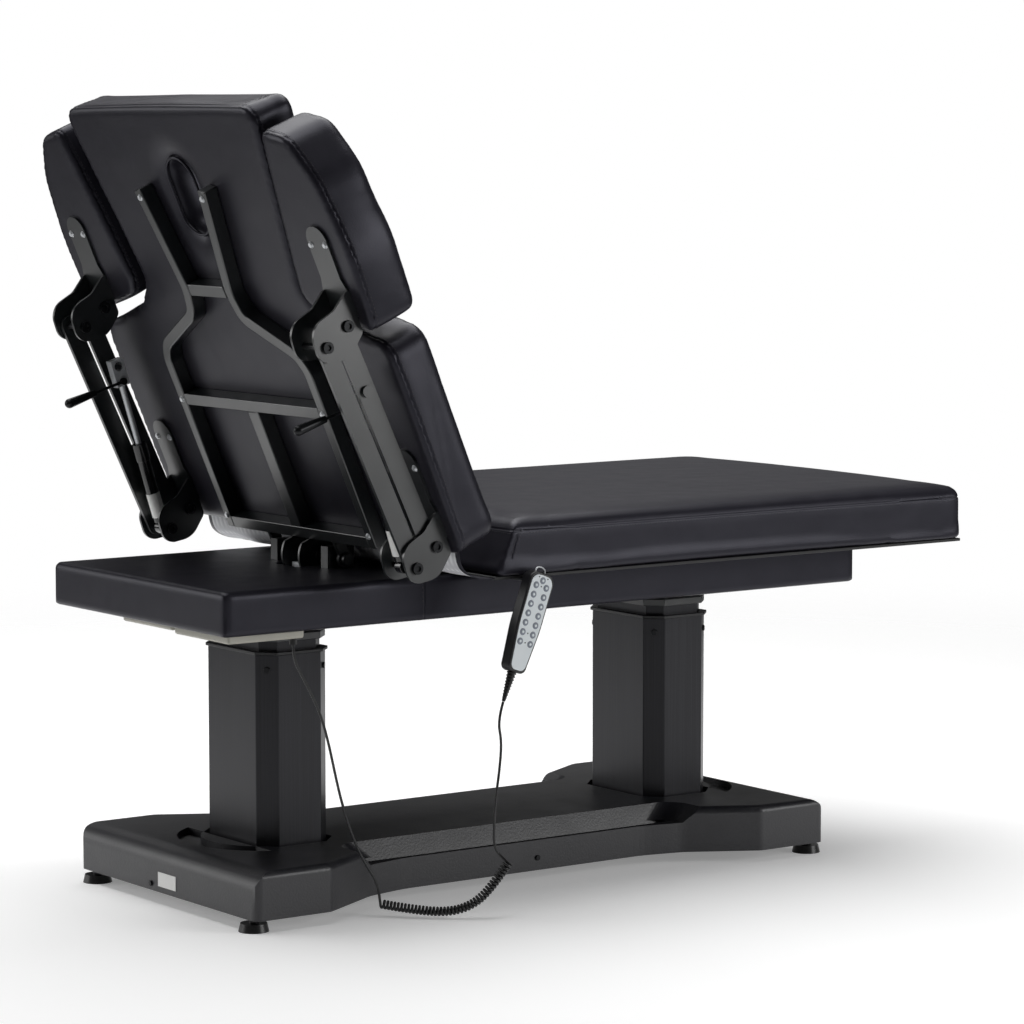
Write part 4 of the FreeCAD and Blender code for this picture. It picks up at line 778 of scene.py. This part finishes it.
work.verts.ensure_lookup_table()
lining = [work.verts[int(index)] for index in np.flatnonzero(from_hole < LINING_REACH)]
for smoothing in range(LINING_ROUNDS):
    bmesh.ops.smooth_vert(work, verts=lining, factor=0.5, use_axis_x=True, use_axis_y=True,
                          use_axis_z=True)
work.to_mesh(back.data)
work.free()
back_lines = sew(back, on_back(0, 0, BORDER_SEAM), BACK_NORMAL, 1.6, (4.5,))
border_top = on_back(0, 0, BORDER_TOP)
for head_side in (-1, 1):
    head_seam = on_back(HEAD_SEAM_HEIGHT, head_side * HEAD_SEAM_SIDE, 0)
    back_lines += sew(back, head_seam, (0, 1, 0), 1.4, (-4.5, 4.5),
                      where=lambda at, out: ((out - BACK_UP).length < 0.5
                                             and (at - border_top).dot(BACK_NORMAL) < 0))
cover(back, "backrest", "upholstery", "back_cushion")

# %% Welt round the face hole
welt_points = []
welt_reach = HOLE_RADIUS + WELT_OUTSIDE
for step in range(WELT_POINTS):
    turn = 2 * math.pi * step / WELT_POINTS
    x = HOLE_X + math.copysign(HOLE_STRAIGHT, math.cos(turn)) + welt_reach * math.cos(turn)
    welt_points.append(BACK @ Vector((x, welt_reach * math.sin(turn), BACK_REAR + WELT_DEPTH)))
welt = nurbs("face_hole_welt", welt_points)
welt.data.splines[0].use_endpoint_u = False
welt.data.splines[0].use_cyclic_u = True
welt.data.bevel_depth = 2.4 * MM
welt.data.bevel_resolution = 3
welt = as_mesh(welt)
welt.data.materials.append(vinyl)
settle(welt, "backrest", "upholstery")
print("welt", len(welt.data.polygons), "faces")

# %% Arm pads
PAD_BEHIND = 12
pad_lines = {}
for side in ("left", "right"):
    pad = remeshed("arm_pad_" + side, "arm_cushion_" + side, 5 * MM)
    inflate(pad, lying_flat(pad.data)[:, 2] < BACK_REAR - PAD_BEHIND * MM + RESTING, 0.0, 5.0)
    pad_lines[side] = sew(pad, on_back(0, 0, BORDER_SEAM - PAD_BEHIND), BACK_NORMAL, 1.6, (4.5,))
    cover(pad, BODY_OF["arm_pad_" + side], "upholstery", "arm_pad_" + side)

# %% Deck cover
deck = remeshed("deck_cover", "deck_wrap", 5 * MM, 2)
deck_low, deck_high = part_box("deck_cover")
DECK_SEAM_X = -0.338
DECK_EDGE = 6 * MM
DECK_CORNER = 30 * MM
deck_lines = []
for deck_side in (-1, 1):
    deck_lines += sew(deck, (DECK_SEAM_X, 0, 0), (1, 0, 0), 2.0, (-4.5,),
                      where=lambda at, out: out.y * deck_side > 0.8 and abs(at.y) > deck_high.y - DECK_EDGE)
    corner = Vector((deck_low.x, deck_side * deck_high.y, 0))
    sew(deck, corner, (1, deck_side, 0), 1.6, (), half_width=3.0,
        where=lambda at, out: ((at.xy - corner.xy).length < DECK_CORNER and out.x < -0.2
                               and out.y * deck_side > 0.2))
cover(deck, "carriage", "upholstered_board", "deck_cover")

# %% [markdown]
# ## Stitches
# Every seam has a row of thread beside it. A row is one Geometry Nodes tree: the seam's line is
# divided at the stitch pitch, a small rounded stitch is set at each point along the line, and the
# result is realised into one plain mesh for each body.

# %% Tree helpers and the stitch tree
def new_tree(name, sockets):
    """A tree with Geometry in and out and these named inputs, and its input node."""
    tree = bpy.data.node_groups.new(name, "GeometryNodeTree")
    tree.interface.new_socket("Geometry", in_out="INPUT", socket_type="NodeSocketGeometry")
    for label, kind in sockets.items():
        tree.interface.new_socket(label, in_out="INPUT", socket_type="NodeSocket" + kind)
    tree.interface.new_socket("Geometry", in_out="OUTPUT", socket_type="NodeSocketGeometry")
    return tree, add_node(tree, "NodeGroupInput")


def end_tree(tree, instances, material, smooth=True):
    """Makes the instances real, shades them, gives them their material and hands them out."""
    shape = add_node(tree, "GeometryNodeRealizeInstances", {"Geometry": instances}).outputs["Geometry"]
    if smooth:
        shape = add_node(tree, "GeometryNodeSetShadeSmooth", {"Geometry": shape}).outputs["Geometry"]
    finished = add_node(tree, "GeometryNodeSetMaterial", {"Geometry": shape, "Material": material})
    add_node(tree, "NodeGroupOutput", {"Geometry": finished.outputs["Geometry"]})


stitch_tree, given = new_tree("stitch_row", {"Pitch": "Float", "Stitch": "Vector", "Thread": "Material"})
line = add_node(stitch_tree, "GeometryNodeMeshToCurve", {"Mesh": given.outputs["Geometry"]})
marks = add_node(stitch_tree, "GeometryNodeResampleCurve", {"Curve": line.outputs["Curve"],
                                                            "Length": given.outputs["Pitch"]}, mode="LENGTH")
way = add_node(stitch_tree, "GeometryNodeInputTangent")
turn = add_node(stitch_tree, "FunctionNodeAlignRotationToVector", {"Vector": way.outputs["Tangent"]},
                axis="Z")
ball = add_node(stitch_tree, "GeometryNodeMeshUVSphere", {"Segments": 6, "Rings": 4, "Radius": 1.0})
set_in = add_node(stitch_tree, "GeometryNodeInstanceOnPoints",
                  {"Points": marks.outputs["Curve"], "Instance": ball.outputs["Mesh"],
                   "Rotation": turn.outputs["Rotation"], "Scale": given.outputs["Stitch"]})
end_tree(stitch_tree, set_in.outputs["Instances"], given.outputs["Thread"], smooth=False)


def through(tree, obj, values):
    """Runs an object's mesh through a tree with named values and keeps the plain result."""
    modifier = obj.modifiers.new(tree.name, "NODES")
    modifier.node_group = tree
    names = {item.name: item.identifier for item in tree.interface.items_tree if item.in_out == "INPUT"}
    for name, value in values.items():
        modifier[names[name]] = value
    return bake(obj)


def stitched(name, lines, body, pitch=6.0, length=4.0, thread=0.4):
    """Stitches along lines of points, as one piece on a body."""
    work = bmesh.new()
    for points in lines:
        verts = [work.verts.new(point) for point in points]
        for first, second in zip(verts, verts[1:]):
            work.edges.new((first, second))
    mesh = bpy.data.meshes.new(name)
    work.to_mesh(mesh)
    work.free()
    obj = new_object(name, mesh)
    through(stitch_tree, obj, {"Pitch": pitch * MM, "Thread": sewing_thread,
                               "Stitch": (thread * MM, thread * MM, length / 2 * MM)})
    settle(obj, body, "upholstery")
    print(name, len(obj.data.polygons), "faces")


# %% Rows of stitches
stitched("leg_stitches", leg_lines, "carriage")
stitched("deck_stitches", deck_lines, "carriage", thread=0.6)
stitched("back_stitches", back_lines, "backrest")
for side, lines in pad_lines.items():
    stitched("arm_stitches_" + side, lines, BODY_OF["arm_pad_" + side])

# %% [markdown]
# ## Handset
# The handset is a black moulded case with a silver film, fifteen round silicone keys in two columns and
# a few small lamps. A key is a flattened dome, so one Geometry Nodes tree sets a dome at each given
# point: wide and grey for the key, narrow and pale for its middle, tiny and dark for a lamp.

# %% Dome tree
dome_tree, given = new_tree("dome_field", {"Size": "Vector", "Facing": "Vector", "Finish": "Material"})
dome = add_node(dome_tree, "GeometryNodeMeshUVSphere", {"Segments": 18, "Rings": 8, "Radius": 1.0})
turn = add_node(dome_tree, "FunctionNodeAlignRotationToVector", {"Vector": given.outputs["Facing"]}, axis="Z")
set_in = add_node(dome_tree, "GeometryNodeInstanceOnPoints",
                  {"Points": given.outputs["Geometry"], "Instance": dome.outputs["Mesh"],
                   "Rotation": turn.outputs["Rotation"], "Scale": given.outputs["Size"]})
end_tree(dome_tree, set_in.outputs["Instances"], given.outputs["Finish"])

# %% Keys and lamps
HANDSET = Matrix.Translation((-0.211, -0.386, 0.541)) @ Matrix.Rotation(math.radians(20), 4, "Y")
FILM_FACE = -23.2
KEY_ROWS = [-21.5 - 15.2 * row for row in range(7)]
KEY_SPOTS = [(0, -12.0)] + [(x, z) for z in KEY_ROWS for x in (-10.2, 10.2)]
LAMP_SPOTS = [(-8.5, -7.5), (8.5, -7.5), (0, -21.5), (0, KEY_ROWS[5]), (0, KEY_ROWS[6])]


def on_handset(name, spots, radius, height, finish, slot):
    """Domes of a radius and height in mm at spots on the handset's film."""
    mesh = bpy.data.meshes.new(name)
    mesh.from_pydata([HANDSET @ Vector((x * MM, FILM_FACE * MM, z * MM)) for x, z in spots], [], [])
    obj = new_object(name, mesh)
    through(dome_tree, obj, {"Size": (radius * MM, radius * MM, height * MM), "Facing": (0.0, -1.0, 0.0),
                             "Finish": finish})
    print(name, len(spots), "domes")
    return settle(obj, BODY_OF["handset_case"], slot)


on_handset("handset_keys", KEY_SPOTS, 5.6, 1.2, grey_silicone, "handset_face")
on_handset("handset_key_middles", KEY_SPOTS, 2.9, 1.7, silver_film, "handset_face")
on_handset("handset_lamps", LAMP_SPOTS, 1.2, 0.6, black_rubber, "handset_black")

# %% [markdown]
# ## Ribs on the boot
# The boot where the cord enters the handset is a tapered rubber sleeve with ribs that let it bend. The
# ribs are rings along the boot's middle line, each a little smaller than the one before it.

# %% Rib tree and ribs
rib_tree, given = new_tree("boot_ribs", {"Count": "Int", "First": "Float", "Last": "Float",
                                         "Finish": "Material"})
line = add_node(rib_tree, "GeometryNodeMeshToCurve", {"Mesh": given.outputs["Geometry"]})
marks = add_node(rib_tree, "GeometryNodeResampleCurve", {"Curve": line.outputs["Curve"],
                                                         "Count": given.outputs["Count"]}, mode="COUNT")
share = add_node(rib_tree, "GeometryNodeSplineParameter")
radius = add_node(rib_tree, "ShaderNodeMapRange", {"Value": share.outputs["Factor"],
                                                   "To Min": given.outputs["First"],
                                                   "To Max": given.outputs["Last"]})
way = add_node(rib_tree, "GeometryNodeInputTangent")
turn = add_node(rib_tree, "FunctionNodeAlignRotationToVector", {"Vector": way.outputs["Tangent"]}, axis="Z")
ring = add_node(rib_tree, "GeometryNodeCurvePrimitiveCircle", {"Radius": 1.0, "Resolution": 24})
bead = add_node(rib_tree, "GeometryNodeCurvePrimitiveCircle", {"Radius": 0.2, "Resolution": 8})
tube = add_node(rib_tree, "GeometryNodeCurveToMesh", {"Curve": ring.outputs["Curve"],
                                                      "Profile Curve": bead.outputs["Curve"]})
set_in = add_node(rib_tree, "GeometryNodeInstanceOnPoints",
                  {"Points": marks.outputs["Curve"], "Instance": tube.outputs["Mesh"],
                   "Rotation": turn.outputs["Rotation"], "Scale": radius.outputs["Result"]})
end_tree(rib_tree, set_in.outputs["Instances"], given.outputs["Finish"])

BOOT_MIDDLE = -11
RIBS_FROM = -163
RIBS_TO = -203
rib_mesh = bpy.data.meshes.new("boot_ribs")
rib_ends = [HANDSET @ Vector((0, BOOT_MIDDLE * MM, height * MM)) for height in (RIBS_FROM, RIBS_TO)]
rib_mesh.from_pydata(rib_ends, [(0, 1)], [])
ribs = new_object("boot_ribs", rib_mesh)
through(rib_tree, ribs, {"Count": 9, "First": 6.6 * MM, "Last": 3.4 * MM, "Finish": black_rubber})
settle(ribs, BODY_OF["cord_boot"], "handset_black")
print("boot ribs", len(ribs.data.polygons), "faces")

# %% Hanger wire over the handset
hanger = nurbs("handset_hanger", [HANDSET @ Vector((x * MM, y * MM, z * MM)) for x, y, z in (
    (-12, -13, -3), (-12, -13, 3), (-9, -12, 7), (0, -10, 9), (12, -5, 7), (17, 1, 2))])
hanger.data.resolution_u = 8
hanger.data.bevel_depth = 1.2 * MM
hanger.data.bevel_resolution = 3
hanger.data.use_fill_caps = True
hanger = as_mesh(hanger)
hanger.data.materials.append(zinc)
settle(hanger, BODY_OF["handset_case"], "bright_steel")
print("hanger", len(hanger.data.polygons), "faces")

# %% [markdown]
# ## Blank bands on the gas springs
# Each gas spring has a pale film wrapped round its tube near the foot. It is left blank here: a thin
# sleeve with a slight overlap step, a hair larger than the tube.

# %% Bands
BAND_FROM = 20
BAND_TO = 62
BAND_RADIUS = 11.3
BAND_EDGE = 0.4
BAND_STEP = 0.25
BAND_SIDES = 48
BAND_OVERLAP = 1.02
for side, sign in (("left", 1), ("right", -1)):
    foot = on_back(23, sign * 359, -70)
    way = (on_back(308.6, sign * 359, -40.6) - foot).normalized()
    turned = way.to_track_quat("Z", "Y").to_matrix().to_4x4()
    work = bmesh.new()
    rings = []
    for distance in (BAND_FROM, BAND_FROM + BAND_EDGE, BAND_TO - BAND_EDGE, BAND_TO):
        radius = BAND_RADIUS - (BAND_STEP if distance in (BAND_FROM, BAND_TO) else 0)
        place = Matrix.Translation(foot + way * distance * MM) @ turned
        ring = []
        for step in range(BAND_SIDES + 1):
            turn = 2 * math.pi * step / BAND_SIDES * BAND_OVERLAP
            over = (radius + BAND_STEP * step / BAND_SIDES) * MM
            ring.append(work.verts.new(place @ Vector((over * math.cos(turn), over * math.sin(turn), 0))))
        rings.append(ring)
    for lower, upper in zip(rings, rings[1:]):
        for step in range(BAND_SIDES):
            work.faces.new((lower[step], lower[step + 1], upper[step + 1], upper[step]))
    mesh = bpy.data.meshes.new("gas_band_" + side)
    work.to_mesh(mesh)
    work.free()
    band = new_object("gas_band_" + side, mesh)
    wall = band.modifiers.new("film", "SOLIDIFY")
    wall.thickness = 0.15 * MM
    wall.offset = 1
    bake(band)
    band.data.shade_smooth()
    band.data.materials.append(pale_film)
    settle(band, BODY_OF["gas_tube_" + side], "label")
    print(band.name, len(band.data.polygons), "faces")

# %% [markdown]
# ## Flap between the cushions
# A strip of vinyl closes the gap at the hip. It is sewn to the backrest's foot and fixed under the leg board,
# so it hangs in a loose curve.

# %% Flap
FLAP_WIDTH = 0.740
FLAP_STEPS = 22
FLAP_LOOSE = 3.0 * MM
flap_profile = points_of(nurbs("flap_profile", [(-0.2802, 0, 0.5335), (-0.302, 0, 0.5345), (-0.337, 0, 0.548),
                                                (-0.347, 0, 0.570), (-0.3482, 0, 0.588)]))
bpy.data.objects.remove(bpy.data.objects["flap_profile"])
flap_profile = evenly(flap_profile, FLAP_STEPS)
flap_length = sum((after - before).length for before, after in zip(flap_profile, flap_profile[1:]))
COLUMNS_ACROSS = 74
work = bmesh.new()
rows = []
for step, at in enumerate(flap_profile):
    share = step / (len(flap_profile) - 1)
    loose = FLAP_LOOSE * math.sin(math.pi * share)
    row = []
    for column in range(COLUMNS_ACROSS + 1):
        y = FLAP_WIDTH * (column / COLUMNS_ACROSS - 0.5)
        ripple = loose * (0.6 * math.sin(y * 31 + 0.4) + 0.4 * math.sin(y * 67 + 1.7 + 2 * share))
        row.append(work.verts.new(at + Vector((-0.7 * ripple, y, -0.7 * ripple))))
    rows.append(row)
for lower, upper in zip(rows, rows[1:]):
    for column in range(COLUMNS_ACROSS):
        work.faces.new((lower[column], upper[column], upper[column + 1], lower[column + 1]))
bmesh.ops.recalc_face_normals(work, faces=work.faces)
flap_mesh = bpy.data.meshes.new("hip_flap")
work.to_mesh(flap_mesh)
work.free()
flap = new_object("hip_flap", flap_mesh)
up = sum((polygon.normal for polygon in flap_mesh.polygons), Vector())
if up.z < 0:
    flap_mesh.flip_normals()
flap_mesh.materials.append(vinyl)
flap_mesh.materials.append(knit)
wall = flap.modifiers.new("cloth", "SOLIDIFY")
wall.thickness = 1.6 * MM
wall.offset = 0
wall.material_offset = 1
wall.material_offset_rim = 0
bake(flap)
flap.data.shade_smooth()
BINDING = 9 * MM
for polygon in flap.data.polygons:
    if abs(polygon.center.y) > FLAP_WIDTH / 2 - BINDING:
        polygon.material_index = 0
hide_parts("bridge_flap")
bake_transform(flap)
print("flap", round(flap_length, 4), "m long")

# %% [markdown]
# ## Studio
# The photograph is a product picture on white: large soft lights overhead, at the head end and on the
# near side, and a weak one beyond the foot end, whose sheen lies on the leg cushion. The paper floor
# fades into the white surround.

# %% Floor, world and lights
FADE_FROM = 1.4
FADE_TO = 4.2
floor_mesh = bpy.data.meshes.new("studio_floor")
floor_mesh.from_pydata([(-30, -30, 0), (30, -30, 0), (30, 30, 0), (-30, 30, 0)], [], [(0, 1, 2, 3)])
floor = new_object("studio_floor", floor_mesh)
paper, tree, shader, place = start_material("white_studio_paper", "#f9f9f9", 0.85, Specular_IOR_Level=0.2,
                                           Emission_Color=linear("#ffffff"), Emission_Strength=0.22)
fibre = add_node(tree, "ShaderNodeTexNoise", {"Vector": place, "Scale": per_mm(4), "Detail": 2.0})
add_node(tree, "ShaderNodeBump", {"Height": fibre.outputs["Fac"], "Strength": 0.05, "Distance": 0.2 * MM},
         to=shader.inputs["Normal"])
reach = add_node(tree, "ShaderNodeVectorMath", {0: place}, operation="LENGTH")
add_node(tree, "ShaderNodeMapRange",
         {"Value": reach.outputs["Value"], "From Min": FADE_FROM, "From Max": FADE_TO,
          "To Min": 1.0, "To Max": 0.0},
         interpolation_type="SMOOTHSTEP", to=shader.inputs["Alpha"])
floor_mesh.materials.append(paper)

world = bpy.data.worlds.new("studio_world")
world.use_nodes = True
background = world.node_tree.nodes["Background"]
background.inputs["Color"].default_value = linear("#ffffff")
seen = add_node(world.node_tree, "ShaderNodeLightPath")
add_node(world.node_tree, "ShaderNodeMapRange",
         {"Value": seen.outputs["Is Camera Ray"], "To Min": 0.04, "To Max": 1.0},
         to=background.inputs["Strength"])
scene.world = world


def soft_light(name, at, towards, size, power):
    """A rectangular light of a size in metres and a power in watts, which the camera does not see."""
    light = bpy.data.lights.new(name, "AREA")
    light.shape = "RECTANGLE"
    light.size = size[0]
    light.size_y = size[1]
    light.energy = power
    obj = new_object(name, light)
    obj.location = at
    obj.rotation_euler = (Vector(towards) - Vector(at)).to_track_quat("-Z", "Y").to_euler()
    obj.visible_camera = False


soft_light("head_end_softbox", (-4.4, 3.6, 1.8), (0, 0, 0.6), (4.0, 2.6), 90)
soft_light("overhead_softbox", (0.2, 1.0, 4.2), (0.1, 0.3, 0.5), (4.4, 5.0), 225)
soft_light("near_softbox", (3.0, -4.4, 1.7), (0, 0, 0.6), (2.4, 2.0), 88)
soft_light("foot_end_softbox", (4.6, 4.2, 1.5), (0.3, 0, 0.6), (3.0, 2.0), 3.5)
scene.view_settings.view_transform = "Standard"
